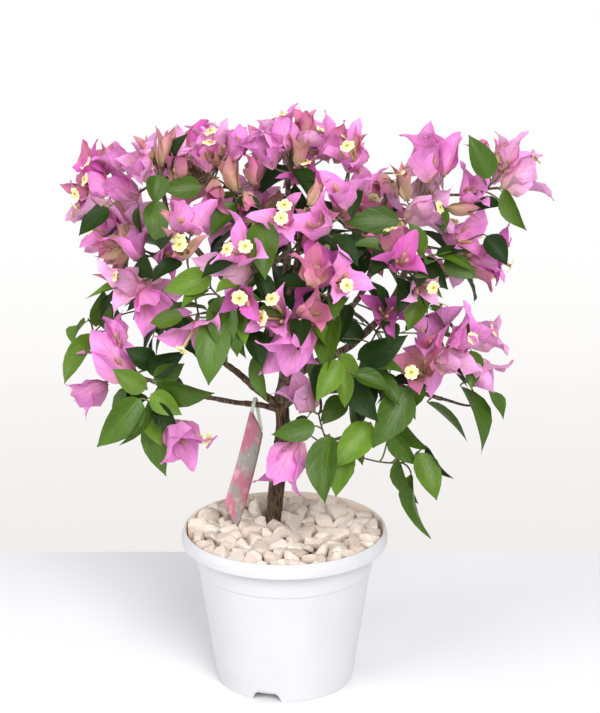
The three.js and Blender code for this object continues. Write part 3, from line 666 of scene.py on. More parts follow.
def make_finishes():
    """Every finish by its plain name. A blade has the colours of its body, its foot and its veins."""
    rose, olive = (0.55, 0.1, 0.34), (0.28, 0.22, 0.07)
    few = (6, 0.35)
    blades = {
        # A bract's foot tint reaches far up the blade: partly its real paler base, partly painted red-brown
        # shade deep in the bloom.
        "bract_bright": ((0.97, 0.345, 0.8), (0.68, 0.38, 0.34), rose, (0.5, 0.7), 0.22),
        "bract_pale": ((0.95, 0.46, 0.8), (0.7, 0.52, 0.34), rose, (0.6, 0.75), 0.22),
        "bract_rose": ((0.76, 0.22, 0.42), (0.58, 0.42, 0.24), rose, (0.7, 0.85), 0.18),
        "bract_young": ((0.68, 0.23, 0.34), (0.56, 0.46, 0.22), olive, (1.0, 0.9), 0.15),
        # bract_deep: a darker copy of the pink, partly painted shade for blooms inside the crown
        "bract_deep": ((0.74, 0.15, 0.55), (0.5, 0.2, 0.2), (0.4, 0.06, 0.26), (0.4, 0.6), 0.25, 0.55,
                       (7, 0.42)),
        # The leaf greens are lighter and darker copies of one green: leaf_dark paints the shade on leaves
        # inside the crown, leaf_bright partly the light on outer ones.
        "leaf_bright": ((0.122, 0.235, 0.018), (0.18, 0.28, 0.035), (0.23, 0.34, 0.075), (0.3, 0.5),
                        0.22, 0.4, few),
        "leaf_mid": ((0.063, 0.136, 0.011), (0.1, 0.18, 0.022), (0.15, 0.245, 0.045), (0.3, 0.5),
                     0.18, 0.38, few),
        "leaf_dark": ((0.013, 0.036, 0.005), (0.024, 0.055, 0.009), (0.05, 0.1, 0.02), (0.3, 0.5),
                      0.06, 0.44, (6, 0.3), 0.15),
    }
    return {
        **{name: veined(name, *looks) for name, looks in blades.items()},
        "plastic": moulded_plastic(), "soil": potting_mix(), "stone": crushed_stone(),
        "trunk": bark("old_bark", (0.028, 0.016, 0.01), (0.168, 0.11, 0.068), (0.085, 0.067, 0.037)),
        "bough": bark("young_bark", (0.04, 0.024, 0.017), (0.2, 0.14, 0.1), (0.12, 0.115, 0.07)),
        "stem": green_stem(), "star": star_petal(),
        "tube": plain_petal("flower_tube", (0.52, 0.44, 0.2)),
        "bud": plain_petal("flower_bud", (0.5, 0.3, 0.17)),
        "card": blotched_card(), "strap": strap_plastic(),
    }


# ---- camera and studio ----------------------------------------------------------------------

def add_camera():
    """Looks at the front of the bush from a little above."""
    camera = bpy.data.objects.new("camera", bpy.data.cameras.new("camera"))
    camera.data.lens = CAMERA["lens"]
    camera.data.sensor_width = CAMERA["sensor"]
    camera.location = CAMERA["place"]
    camera.rotation_euler = (math.radians(90 - CAMERA["down"]), 0, 0)
    bpy.context.scene.collection.objects.link(camera)
    bpy.context.scene.camera = camera


def add_light(name, place, size, watts):
    """A soft square lamp that faces the aim of all the lamps."""
    lamp = bpy.data.objects.new(name, bpy.data.lights.new(name, "AREA"))
    lamp.data.shape = "SQUARE"
    lamp.data.size = size
    lamp.data.energy = watts
    lamp.location = place
    to = np.subtract(LAMP_AIM, place)
    lamp.rotation_euler = (math.acos(-to[2] / np.linalg.norm(to)), 0, math.atan2(to[1], to[0]) - math.pi / 2)
    bpy.context.scene.collection.objects.link(lamp)


def add_floor():
    """A pale floor that ends behind the pot."""
    back, front, side = 0.24, -1.3, 1.6
    mesh = bpy.data.meshes.new("floor")
    corners = [(-side, front, 0), (side, front, 0), (side, back, 0), (-side, back, 0)]
    mesh.from_pydata(corners, [], [(0, 1, 2, 3)])
    floor = bpy.data.objects.new("floor", mesh)
    bpy.context.scene.collection.objects.link(floor)
    f = Finish("pale_floor", Roughness=0.45, Specular_IOR_Level=0.3)
    f.wire(Base_Color=f.mix(f.noise(f.place(), 3, 3), (0.79, 0.79, 0.805), (0.83, 0.83, 0.845)))
    mesh.materials.append(f.material)


def add_surround():
    """A white surround, warmer low down, whose light is stronger from behind the bush than from
    before it. It looks equally bright on every side."""
    world = bpy.data.worlds.new("studio")
    world.use_nodes = True
    bpy.context.scene.world = world
    sky = Steps(world.node_tree, "Background")
    _, back, up = sky.parts(sky.step("ShaderNodeTexCoord", out="Generated"))
    seen = sky.step("ShaderNodeLightPath", out="Is Camera Ray")
    sky.wire(Color=sky.mix(sky.span(up, -0.2, -0.4), (1, 1, 1), (0.875, 0.845, 0.82)),
             Strength=sky.sum("MAXIMUM", sky.span(back, -0.3, 0.6, 0.54, 0.75), seen))


def add_studio():
    """The floor, the surround and two soft lamps."""
    add_floor()
    add_surround()
    add_light("key_lamp", (1.0, -2.7, 2.1), 1.8, 112)
    add_light("fill_lamp", (-1.5, -1.2, 1.1), 1.2, 22)
    bpy.context.scene.view_settings.view_transform = "Standard"


# ---- pot, soil, stones and label ------------------------------------------------------------

def pot_radius(z):
    """The wall's outside: two straight tapers, the upper one set out by the fine step."""
    p = POT
    low = np.interp(z, [0, p["step_height"]], [p["base_radius"], p["step_radius"]])
    high = np.interp(z, [p["step_height"], p["height"] - p["lip_height"]],
                     [p["step_radius"] + p["step_depth"], p["neck_radius"]])
    return np.where(z < p["step_height"], low, high)


def rounded(corners, radius):
    """The outline with each inner corner replaced by four points of a parabola that starts and ends
    radius away."""
    out = [corners[0]]
    for before, corner, after in zip(corners, corners[1:], corners[2:]):
        before, corner, after = map(np.array, (before, corner, after))
        reach_in = min(radius, np.linalg.norm(corner - before) / 2.2)
        reach_out = min(radius, np.linalg.norm(after - corner) / 2.2)
        a = corner + unit(before - corner) * reach_in
        b = corner + unit(after - corner) * reach_out
        for t in np.linspace(0, 1, 4):
            out.append(tuple((1 - t) ** 2 * a + 2 * t * (1 - t) * corner + t * t * b))
    return out + [corners[-1]]


def add_pot(finish):
    """The outline turned about the upright axis. In the notches the foot ring's low points are
    lifted to the notch's height by a smooth step of the angle."""
    p = POT
    lip_foot = p["height"] - p["lip_height"]
    floor = p["foot_height"] + p["wall"]
    inside = lambda z: float(pot_radius(z)) - p["wall"]
    in_foot = inside(p["foot_height"])
    foot_rows = [(float(pot_radius(z)), z) for z in (1.4, 2.8, 4.2, 5.6, 7, 8.5)]
    walls = [(float(pot_radius(z)), z) for z in (20, 40, 60, 78)]
    outline = [
        (p["disc_radius"], 0), (p["disc_radius"] + p["slope"], p["foot_height"]),
        (in_foot, p["foot_height"]), (in_foot - 0.3, 4.2), (p["base_radius"] - p["wall"], 0),
        (p["base_radius"], 0), *foot_rows, *walls,
        (p["step_radius"], p["step_height"]), (p["step_radius"] + p["step_depth"], p["step_height"] + 0.6),
        (float(pot_radius(100)), 100), (p["neck_radius"], lip_foot - 0.2),
        (p["lip_radius"] - 0.3, lip_foot), (p["lip_radius"], p["height"] - 5),
        (p["lip_radius"] - 1.6, p["height"]), (p["mouth_radius"] + 0.2, p["height"]),
        (p["mouth_radius"] - 0.6, lip_foot + p["wall"]), (inside(lip_foot), lip_foot - 0.4),
        (inside(p["step_height"]), p["step_height"]), (inside(floor), floor),
        (p["disc_radius"] - p["wall"] + p["slope"], floor), (p["disc_radius"] - p["wall"], p["wall"]),
    ]
    outline = np.array(rounded(outline, 1.1)) * MM
    turn = np.linspace(0, 2 * math.pi, p["sides"], endpoint=False)
    radius, z = (outline[:, k][:, None] + 0 * turn for k in (0, 1))
    first = math.radians(NOTCH["first_angle"])
    pitch = 2 * math.pi / NOTCH["count"]
    off = (np.mod(turn - first + pitch / 2, pitch) - pitch / 2) * p["base_radius"]
    open_share = np.clip((NOTCH["width"] / 2 - np.abs(off)) / 1.6 + 0.5, 0, 1)
    in_ring = (radius > (p["disc_radius"] + 6) * MM) & (z < (NOTCH["height"] + 2) * MM)
    lifted = np.maximum(z, NOTCH["height"] * MM * open_share + z * 0.25)
    z = np.where(in_ring, lifted, z)
    rings = np.stack([radius * np.cos(turn), radius * np.sin(turn), z], axis=-1)[None]
    ends = np.array([[0, 0, 0.0]]), np.array([[0, 0, p["wall"] * MM]])
    pot = skins("white_pot", rings, *ends, finish, "pot")
    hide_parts("pot")


def settle_stones(source, count, sizes, clear):
    """Places (count, 2) and sizes for stones in a round bed. They start at random and push each
    other apart, evenly over the bed, where they lie nearer than their sizes allow. They keep clear
    of the trunk."""
    size = source.uniform(*sizes, count)
    reach = np.sqrt(source.uniform(0, 1, count)) * (STONES["bed_radius"] - size * 0.4)
    turn = source.uniform(0, 2 * math.pi, count)
    place = np.stack([reach * np.cos(turn), reach * np.sin(turn)], axis=1)
    foot = np.array(TRUNK["path"][0][:2])
    for _ in range(120):
        gap = place[:, None] - place[None]
        away = np.linalg.norm(gap, axis=-1) + np.eye(count) * 1e3
        need = (size[:, None] + size[None]) * 0.93
        push = np.clip(need - away, 0, None) / away * 0.3
        place = place + (gap * push[..., None]).sum(1)
        from_trunk = place - foot
        far = np.linalg.norm(from_trunk, axis=1)
        place = place + from_trunk / far[:, None] * np.clip(clear + size * 0.7 - far, 0, None)[:, None]
        out = np.linalg.norm(place, axis=1)
        edge = STONES["bed_radius"] - size * 0.55
        place = place * np.minimum(1, edge / out)[:, None]
    return place, size


def add_stones(finish):
    """Angular stones: a round grid of directions, each cut off at the nearest of eleven random
    planes, so that the faces are flat and the edges worn. Two layers lie on the bed's low mound."""
    source = dice("stones")
    upper, size = settle_stones(source, *STONES["upper"])
    lower, low_size = settle_stones(source, *STONES["lower"])
    place = np.concatenate([upper, lower])
    size = np.concatenate([size, low_size]) * 1.06
    count = len(size)
    out = np.linalg.norm(place, axis=1) / STONES["bed_radius"]
    top = STONES["rim"] + STONES["mound"] * (1 - out**2)
    height = top - size * 0.35 + source.uniform(-1.2, 2.2, count)
    height[len(upper):] -= STONES["layer_drop"]
    rows, sides, cuts = 11, 16, 11
    polar = np.linspace(0, math.pi, rows + 2)[1:-1][:, None]
    turn = np.linspace(0, 2 * math.pi, sides, endpoint=False)
    ways = np.stack([np.sin(polar) * np.cos(turn), np.sin(polar) * np.sin(turn),
                     np.cos(polar) + 0 * turn], -1)
    ways = np.concatenate([ways.reshape(-1, 3), [[0, 0, 1], [0, 0, -1]]])
    planes = unit(source.normal(size=(count, cuts, 3)))
    depth = source.uniform(0.55, 0.9, (count, cuts))
    meet = np.maximum(np.einsum("nki,wi->nwk", planes, ways) / depth[:, None], 0.05)
    reach = np.minimum(1 / (meet**40).sum(-1) ** (1 / 40), 1.25)
    turnings = unit(source.normal(size=(count, 2, 3)))
    a = turnings[:, 0]
    b = square_to(a, turnings[:, 1])
    axes = np.stack([a, b, np.cross(a, b)], axis=1)
    stretch = source.uniform([1.0, 0.82, 0.62], [1.3, 1.05, 0.85], (count, 3))
    local = ways[None] * reach[..., None] * (size[:, None] * stretch)[:, None]
    points = np.einsum("nwi,nij->nwj", local, axes)
    points[..., 2] *= 0.86
    points = points + np.concatenate([place, height[:, None]], axis=1)[:, None]
    points = points * MM
    ledge = (POT["height"] - POT["lip_height"] + 1.3) * MM
    in_neck, in_mouth = POT["neck_radius"] - POT["wall"] - 1.2, POT["mouth_radius"] - 1.4
    limit = np.where(points[..., 2:] < ledge, in_neck, in_mouth) * MM
    far = np.linalg.norm(points[..., :2], axis=-1, keepdims=True)
    points[..., :2] *= np.minimum(1, limit / far)
    points[..., 2] = np.maximum(points[..., 2], STONES["lowest"] * MM)
    n_ring = rows * sides
    rings = points[:, :n_ring].reshape(count, rows, sides, 3)[:, ::-1]
    stones = skins("stones", rings, points[:, n_ring + 1], points[:, n_ring], finish, "pebbles",
                   tone=source.uniform(0, 1, count) ** 0.7, smooth=False)
    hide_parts("pebbles")


def add_label(card, strap):
    """The blade is the flat patch between its four corners, bowed a little by a sine along it and
    given a thickness. The strap is a flat stem along its route."""
    turn = math.radians(LABEL["turn"])
    right = np.array([math.cos(turn), math.sin(turn), 0])
    corners = [np.array(LABEL["top"]) + right * x + UP * z for x, z in LABEL["corners"]]
    top, right_top, bottom, left = corners
    s = np.linspace(0, 1, 26)[:, None, None]
    t = np.linspace(0, 1, 9)[None, :, None]
    nip = 0.03 * (2 * s - 1) ** 8  # rounds the corners off
    t = t * (1 - 2 * nip) + nip
    patch = (1 - s) * ((1 - t) * top + t * right_top) + s * ((1 - t) * left + t * bottom)
    out = np.array([math.sin(turn), -math.cos(turn), 0])
    patch = patch + out * (1.4 * np.sin(math.pi * s) + 0.5 * np.sin(math.pi * t) + 0.4)
    blade = sheets("label_card", patch[None] * MM, card)
    wall = blade.modifiers.new("thickness", "SOLIDIFY")
    wall.thickness = LABEL["thickness"] * MM
    wall.offset = 0
    route = smooth_path(LABEL["strap"], 40)[None]
    rings = rings_round(route, np.array(LABEL["strap_width"] / 2 * MM), 12)
    along = unit(np.gradient(route, axis=1))
    flat = square_to(along, np.broadcast_to([0.9, -0.3, 0.1], along.shape))
    thin = np.cross(along, flat)[:, :, None]
    arm = rings - route[:, :, None]
    squeeze = 1 - LABEL["strap_thickness"] / LABEL["strap_width"]
    rings = rings - thin * (arm * thin).sum(-1, keepdims=True) * squeeze
    band = skins("label_strap", rings, route[:, 0], route[:, -1], strap, "label")
    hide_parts("plant_label")
    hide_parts("plant_label")


# ---- trunk and boughs -----------------------------------------------------------------------

def limb_skin(name, path, radius, sides, relief, finish):
    """A limb as rings round its path. Its radius, given for each ring and side, gains bark ridges:
    noise drawn out along the limb, a coarser swelling, and a low collar at each old leaf scar."""
    count = len(path)
    rings = rings_round(path[None], np.ones(count), sides)[0]
    circle = rings - path[:, None]
    way = np.concatenate([[0], np.cumsum(np.linalg.norm(np.diff(path, axis=0), axis=1))])[:, None]
    turn = np.linspace(0, 2 * math.pi, sides, endpoint=False)
    girth = radius.mean()
    unrolled = np.stack(np.broadcast_arrays(np.cos(turn) * girth, np.sin(turn) * girth, way / 4), -1)
    ridges = rumple(unrolled, girth * 0.8, name + " ridges", 14)
    swelling = rumple(unrolled * np.array([1, 1, 4]), girth * 5, name + " swelling")
    source = dice(name + " scars")
    first, pitch, stray, size = (SCARS[key] * MM for key in ("first", "pitch", "stray", "size"))
    scars = np.arange(first, way[-1, 0], pitch)
    scars = scars + source.uniform(-stray, stray, len(scars))
    around = 1 - np.cos(turn[None, :, None] - np.arange(len(scars)) * GOLDEN_ANGLE)
    near = np.exp(-((way[:, :, None] - scars) / size) ** 2 - around * 2.2)
    lift = relief * (0.5 * ridges + 0.55 * swelling + 1.5 * near.sum(-1))
    skin = path[:, None] + circle * (radius + lift)[..., None]
    return skins(name, skin[None], path[:1], path[-1:], finish, "bark")


def add_trunk(finish):
    """The trunk with its ribbed flare, which falls off as the square of the way up its share, and
    its top closed by a low dome."""
    path = smooth_path(TRUNK["path"], 150)
    share = np.linspace(0, 1, len(path))[:, None]
    turn = np.linspace(0, 2 * math.pi, TRUNK["sides"], endpoint=False)
    flare = np.maximum(0, 1 - share / TRUNK["flare_share"]) ** 2
    foot, top = TRUNK["radii"]
    taper = foot + (top - foot) * share
    dome = np.sqrt(np.clip((1 - share) / 0.03, 0.02, 1))
    ribbed = TRUNK["flare"] * flare * (1 + 0.45 * np.sin(TRUNK["ribs"] * turn))
    radius = (taper + ribbed) * dome * SLIMMER * MM
    trunk = limb_skin("trunk_bark", path, radius, TRUNK["sides"], 0.5 * MM, finish)
    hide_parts("trunk")


def add_boughs(finish):
    """Every bough as a tapering limb, and the wood that the shoots then grow from."""
    wood = Wood()
    bare = 12  # the rows at a bough's foot that bear no shoots
    for name, ((foot, tip), route) in BOUGHS.items():
        path = smooth_path(route, 120)
        share = np.linspace(0, 1, len(path))[:, None]
        collar = 1 + 0.35 * np.exp(-share / 0.05)
        radius = (foot + (tip - foot) * share) * collar * SLIMMER * MM + np.zeros(BOUGH_SIDES)
        bough = limb_skin(name + "_bark", path, radius, BOUGH_SIDES, 0.26 * MM, finish)
        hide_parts(name)
        wood.add(path[bare:], radius[bare:, 0])
    return wood


class Wood:
    """The wood that can bear shoots: its points, the way it runs there and its radius."""

    def __init__(self):
        self.points, self.ways, self.radii = np.empty((0, 3)), np.empty((0, 3)), np.empty(0)

    def add(self, path, radii):
        """Takes in one more limb or shoot."""
        self.points = np.concatenate([self.points, path])
        self.ways = np.concatenate([self.ways, unit(np.gradient(path, axis=0))])
        self.radii = np.concatenate([self.radii, radii])

    def bearer(self, target):
        """The point that a shoot to the target starts from: the nearest, where wood above the
        target counts as further away."""
        gap = np.linalg.norm(self.points - target, axis=1)
        above = np.clip(self.points[:, 2] - target[2], 0, None)
        return int(np.argmin(gap + 0.8 * above))


# ---- the crown ------------------------------------------------------------------------------

def cap_directions(facing, count, spread, source):
    """Directions spread evenly over the cap of the given half angle round facing, as on a
    sunflower: the cosine falls in even steps while the turn goes by the golden angle."""
    level = 1 - (np.arange(count) + 0.5) / count * (1 - math.cos(spread))
    turn = np.arange(count) * GOLDEN_ANGLE + source.uniform(0, 2 * math.pi)
    flat = np.sqrt(np.clip(1 - level**2, 0, 1))
    right = square_to(facing, np.array([0.31, 0.55, 0.77]))
    ways = level[:, None] * facing + flat[:, None] * round_about(facing, right, turn)
    return unit(ways + source.normal(scale=0.13, size=(count, 3)))


def room_ahead(start, way):
    """How far it is from start along way to the unit ball round the origin: the larger root of
    the square equation |start + t way| = 1, or 0 outside the ball."""
    a, b, c = (way * way).sum(-1), (start * way).sum(-1), (start * start).sum(-1) - 1
    return np.maximum((-b + np.sqrt(np.maximum(b * b - a * c, 0))) / a, 0)


class Mass:
    """One packed mass of the crown: its middle and its reach to the right, back and up."""

    def __init__(self, name):
        low, high = (np.array(corner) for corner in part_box(name))
        self.name, self.middle, self.reach = name, (low + high) / 2, (high - low) / 2
        self.outward = unit(self.middle - CROWN_HEART)
        self.plan = {**USUAL_SPRAY, **SPRAYS.get(name, {})}
        self.blooming = name.startswith("bloom")
        self.greens = GREENS["bloom" if self.blooming else "leaves"]
        # Leaves inside and behind the crown get mostly the dark green: painted shade.
        if "core" in name or "back" in name:
            self.greens = GREENS["inside"]

    def spots(self, right, up, depth):
        """Places given by their shares of the half width and half height in the view, on the side
        towards the viewer of a ball of that depth, as a share of the mass's own."""
        toward = depth * np.sqrt(np.clip(1 - right**2 - up**2, 0, 1))
        return (self.middle + (right * self.reach[0])[:, None] * VIEW_RIGHT
                + (up * self.reach[2])[:, None] * VIEW_UP + (toward * self.reach[1])[:, None] * TO_VIEWER)

    def count(self, key, density):
        """How many blooms or leaves the branching rule gives the mass."""
        across = self.reach[0] * self.reach[2] / MM**2 / 1000
        return self.plan.get(key, round(density * across))

    def leaf_count(self):
        """A blooming mass has the fewer leaves, the higher it stands."""
        density = LEAVES_FOR_SIZE
        if self.blooming:
            heights, counts = LEAVES_IN_BLOOM["height"], LEAVES_IN_BLOOM["count"]
            density = float(np.interp(self.middle[2] / MM, heights, counts))
        return self.count("leaves", density)


def placed_blooms(mass):
    """The heads, axes and looks of the mass's blooms with a place of their own."""
    rows = PLACED_BLOOMS.get(mass.name, [])
    right, up, clock, front, length, opening = np.array([row[:6] for row in rows], float).reshape(-1, 6).T
    looks = {
        "length": length * MM, "open": np.radians(opening),
        "kind": np.array(["bract_" + row[6] for row in rows], str),
        "stars": np.array([row[7] for row in rows], int),
        "spin": np.radians([row[8] if len(row) > 8 else np.nan for row in rows]),
    }
    return mass.spots(right, up, mass.plan["depth"]), clock_way(clock, front), looks


def grown_blooms(mass, placed, source):
    """The heads, axes and looks of the blooms that the branching rule adds: spread over the side
    that faces outwards or, where blooms with a place of their own are in front, over the back."""
    count = mass.count("blooms", BLOOMS_FOR_SIZE * (FILL_BEHIND if placed else 1))
    facing = mass.outward + 0.25 * UP
    if placed:
        facing = mass.outward * np.array([1, 0, 1]) + np.array([0, 0.9, 0.2])
    facing = unit(np.array(mass.plan.get("facing", facing), float))
    ways = cap_directions(facing, count, math.radians(95), source)
    axis = unit(ways + 0.15 * UP)
    share = source.uniform(size=count)
    young = share < mass.plan["young"]
    length = np.where(young, source.uniform(*YOUNG["length"], count),
                      source.uniform(*mass.plan["length"], count)) * MM
    head = mass.middle + ways * mass.reach * source.uniform(0.1, 0.4, (count, 1))
    room = room_ahead((head - mass.middle) / mass.reach, axis / mass.reach)
    head = head - axis * np.maximum(0, length * 0.8 - room)[:, None]
    opening = math.radians(mass.plan["open"]) * source.uniform(0.7, 1.25, count)
    looks = {
        "length": length, "open": np.where(young, YOUNG["open"], opening),
        "kind": np.select([young, *(share < top for top in KIND_TOPS.values())],
                          ["bract_young", *KIND_TOPS], "bract_bright"),
        "stars": np.where(young, 0, source.choice(3, count, p=STAR_CHANCES)),
        "spin": np.full(count, np.nan),
    }
    return head, axis, looks


def grow_shoot(mass, head, axis, wood, bush):
    """A shoot from the nearest wood, which ends a little behind the middle of the heads."""
    at = wood.bearer(mass.middle)
    start, way = wood.points[at], wood.ways[at]
    facing = axis.mean(axis=0)
    set_back = min(14 * MM, mass.reach.min() * 0.25 * len(head))
    goal = head.mean(axis=0) - unit(facing + 0.3 * mass.outward) * set_back
    ahead, run = unit(goal - start), np.linalg.norm(goal - start)
    leaving = unit(way * 0.6 + ahead) * run
    arriving = unit(facing + 0.8 * ahead) * run * 0.8
    shoot = arcs(start[None], leaving[None], goal[None], arriving[None], SHOOT_ROWS)[0]
    radii = np.linspace(min(wood.radii[at] * 0.8, 1.5 * MM), 0.7 * MM, SHOOT_ROWS)
    bush.shoots.append((shoot, radii))
    wood.add(shoot[BARE_ROWS:], radii[BARE_ROWS:])
    return shoot


def grow_twigs(shoot, head, axis):
    """A twig to each head, from places that go back along the outer part of the shoot."""
    last = SHOOT_ROWS - 1
    from_row = np.clip(last - (np.arange(len(head)) * 0.9).astype(int) % 9, BARE_ROWS, last)
    root = shoot[from_row]
    root_way = unit(np.gradient(shoot, axis=0))[from_row]
    span = np.linalg.norm(head - root, axis=1, keepdims=True) + 3 * MM
    leaving = unit(root_way + 1.5 * unit(head - root)) * span * 0.6
    return arcs(root, leaving, head, axis * span * 0.5, TWIG_ROWS)


def grow_leaves(mass, twigs, count, source, bush):
    """Leaves along the twigs, dealt out to them in turn. From one to the next they turn round the
    twig by the golden angle, and they point outwards and droop."""
    pick = np.arange(count) % len(twigs)
    row = source.integers(2, TWIG_ROWS, count)
    node = twigs[pick, row]
    stem_way = unit(twigs[pick, np.minimum(row + 1, TWIG_ROWS - 1)] - twigs[pick, row - 1])
    turn = np.arange(count) * GOLDEN_ANGLE + source.uniform(0, 6)
    round_stem = round_about(stem_way, square_to(stem_way, np.array([0.2, 0.5, 0.8])), turn)
    away = unit(node - mass.middle + 1e-6)
    along = unit(0.75 * round_stem + 0.35 * away + 0.25 * stem_way - mass.plan["droop"] * 0.75 * UP
                 + 0.25 * mass.outward + source.normal(scale=0.18, size=(count, 3)))
    face = square_to(along, UP + 0.75 * mass.outward * np.array([1, 1, 0.3])
                     + source.normal(scale=0.25, size=(count, 3)))
    bush.leaf(node, stem_way, along, face, mass, source)


def grow_spray(mass, wood, bush):
    """Grows one mass of the crown. A shoot leaves the nearest wood and runs into the mass, twigs
    run from it to the heads, blooms sit on their tips and leaves stand along them."""
    source = dice(mass.name)
    leaves = mass.leaf_count()
    if mass.blooming:
        placed = placed_blooms(mass)
        grown = grown_blooms(mass, len(placed[0]) > 0, source)
        head, axis = (np.concatenate([placed[k], grown[k]]) for k in (0, 1))
        looks = {key: np.concatenate([placed[2][key], grown[2][key]]) for key in grown[2]}
    else:
        count = max(1, round(leaves / LEAVES_ON_TWIG))
        axis = cap_directions(unit(mass.outward + 0.25 * UP), count, math.radians(140), source)
        head = mass.middle + axis * mass.reach * source.uniform(0.3, 0.75, (count, 1))
    twigs = grow_twigs(grow_shoot(mass, head, axis, wood, bush), head, axis)
    bush.twigs.append(twigs)
    if mass.blooming:
        bush.bloom(head, axis, looks, source)
    if leaves:
        grow_leaves(mass, twigs, leaves, source, bush)


class Bush:
    """Collects what grows, kind by kind, until each kind is made into its pieces."""

    def __init__(self):
        self.shoots, self.twigs, self.stalks, self.tubes, self.buds, self.stars = [], [], [], [], [], []
        self.blades = {kind: [] for kind in BRACTS + LEAVES}

    def deal(self, kind, grid, tone):
        """Puts each blade with the others of its kind."""
        for name, parts in self.blades.items():
            if (kind == name).any():
                parts.append((grid[kind == name], tone[kind == name]))

    def bloom(self, head, axis, looks, source):
        """Blooms on the twig tips: three bracts round each axis and a flower tube on each bract's
        midrib. A bract sets off wider than the bloom opens, bellies in and flares out at its tip."""
        count = len(head)
        young = looks["kind"] == "bract_young"
        draw = lambda low, high: source.uniform(low, high, count)
        right = square_to(axis, unit(source.normal(size=(count, 3))))
        spin = looks["spin"][:, None]
        chosen = np.cos(spin) * unit(np.cross(axis, TO_VIEWER)) + np.sin(spin) * square_to(axis, TO_VIEWER)
        right = np.where(np.isnan(spin), right, chosen)
        for number in range(3):
            side = round_about(axis, right, number * 2 * math.pi / 3 + draw(-0.25, 0.25))
            bulge = np.where(young, YOUNG["bulge"], draw(0.25, 0.6))
            lean = (looks["open"] * draw(0.75, 1.2) + bulge)[:, None]
            along = np.sin(lean) * side + np.cos(lean) * axis
            face = np.sin(lean) * axis - np.cos(lean) * side
            long = looks["length"] * draw(0.88, 1.08)
            wide = long * np.where(young, YOUNG["width"], draw(0.56, 0.76))
            shape = blade_shapes(source, count, turn=(0.2, 1.0), belly=(1.3, 1.8), cup=(0.65, 1.15),
                                 fold=(0.12, 0.45), wave=(0.15, 0.45), waves=(1.2, 2.8), twist=0.28,
                                 outline=BRACT_OUTLINE)
            shape["belly"] = bulge * shape["belly"]
            for key in ("turn", "cup", "wave"):
                shape[key] = np.where(young, YOUNG[key], shape[key])
            grid = blades(head + side * 1.2 * MM, along, face, (long, wide), shape, BRACT_COLUMNS)
            self.deal(looks["kind"], grid, draw(0, 1))
            self.flower(head, axis, side, looks, number < looks["stars"], source)

    def flower(self, head, axis, side, looks, open_star, source):
        """One flower of each bloom: a thin tube that swells at its foot and its mouth, and ends in a
        star or, more often, in a closed bud."""
        draw = lambda low, high: source.uniform(low, high, len(head))
        reach = looks["length"] * np.where(open_star, draw(0.64, 0.84), draw(0.36, 0.56))
        upright = np.where(looks["kind"] == "bract_young", YOUNG["lean"], 1)
        way = unit(axis + side * draw(0.15, 0.45)[:, None] * upright[:, None])
        start = head + side * 1.5 * MM
        end = start + way * reach[:, None]
        path = arcs(start, axis * reach[:, None] * 0.8, end, way * reach[:, None], TWIG_ROWS)
        if not open_star.all():
            self.buds.append(path[~open_star])
        if open_star.any():
            stars = open_star.sum()
            ways = unit(path[:, -1] - path[:, -2])[open_star]
            size = source.uniform(5.2, 6.2, stars) * MM
            self.tubes.append(path[open_star])
            self.stars.append((end[open_star], ways, size, source.uniform(0, 1.2, stars)))

    def leaf(self, node, stem_way, along, face, mass, source):
        """Leaves with their stalks, no longer than the room left for them in their mass."""
        count = len(node)
        draw = lambda low, high: source.uniform(low, high, count)
        stalk = draw(5, 9)[:, None] * MM
        base = node + unit(along + 0.5 * stem_way) * stalk
        self.stalks.append(arcs(node, stem_way * stalk, base, along * stalk, 4))
        room = room_ahead((base - mass.middle) / mass.reach, along / mass.reach) * 1.25
        length = np.clip(draw(33, 47) * MM, SHORTEST_LEAF, np.maximum(room, SHORTEST_LEAF))
        width = length * draw(0.5, 0.62)
        shape = blade_shapes(source, count, turn=(0.1, 0.7), belly=(-0.25, 0.15), cup=(0.1, 0.6),
                             fold=(0.15, 0.5), wave=(0.02, 0.12), waves=(1.0, 1.8), twist=0.22,
                             outline=LEAF_OUTLINE)
        shape["turn"] = shape["turn"] + 0.2 * mass.plan["droop"]
        grid = blades(base, along, face, (length, width), shape, LEAF_COLUMNS)
        pick = source.uniform(size=count)
        # The green by the mass's shares: the dark one is painted shade, the bright one partly painted light.
        kind = np.select([pick < top for top in mass.greens], LEAVES[:2], LEAVES[2])
        self.deal(kind, grid, draw(0, 1))

    def place_leaves(self, mass, wood):
        """The leaves with a place of their own: each hangs on a twig from the nearest wood. The
        blade sets off a third of its turn ahead of its clock hand, so that its tip lies on it."""
        rows = PLACED_LEAVES[mass.name]
        count = len(rows)
        source = dice("placed leaves " + mass.name)
        right, up, clock, length, roll = np.array([row[:5] for row in rows], float).T
        base = mass.spots(right, up, LEAF_DEPTH)
        line = unit(clock_way(clock, np.zeros(count)) + TO_VIEWER * source.uniform(0, 0.25, (count, 1)))
        front = square_to(line, TO_VIEWER + source.normal(scale=0.15, size=(count, 3)))
        roll = np.radians(roll)[:, None]
        face = np.cos(roll) * front + np.sin(roll) * np.cross(line, front)
        turn = source.uniform(0.3, 0.7, count)
        along = np.cos(turn / 3)[:, None] * line + np.sin(turn / 3)[:, None] * face
        face = square_to(along, face)
        shape = blade_shapes(source, count, turn=turn, belly=0, cup=(0.15, 0.5), fold=(0.15, 0.42),
                             wave=(0.03, 0.1), waves=(1.0, 1.6), twist=0.12, outline=LEAF_OUTLINE)
        size = length * 1.03 * MM, np.maximum(length * 0.56, 17) * MM
        grid = blades(base, along, face, size, shape, LEAF_COLUMNS)
        # The given green: the dark one is painted shade, the bright one partly painted light.
        kind = np.array(["leaf_" + row[5] for row in rows])
        for name in LEAVES:
            own = kind == name
            self.blades[name].append((grid[own], source.uniform(0.2, 0.9, own.sum())))
        bearers = np.array([wood.bearer(point) for point in base])
        start, way = wood.points[bearers], wood.ways[bearers]
        span = np.linalg.norm(base - start, axis=1, keepdims=True)
        leaving = unit(way + unit(base - start)) * span * 0.7
        self.twigs.append(arcs(start, leaving, base, along * span * 0.5, TWIG_ROWS))

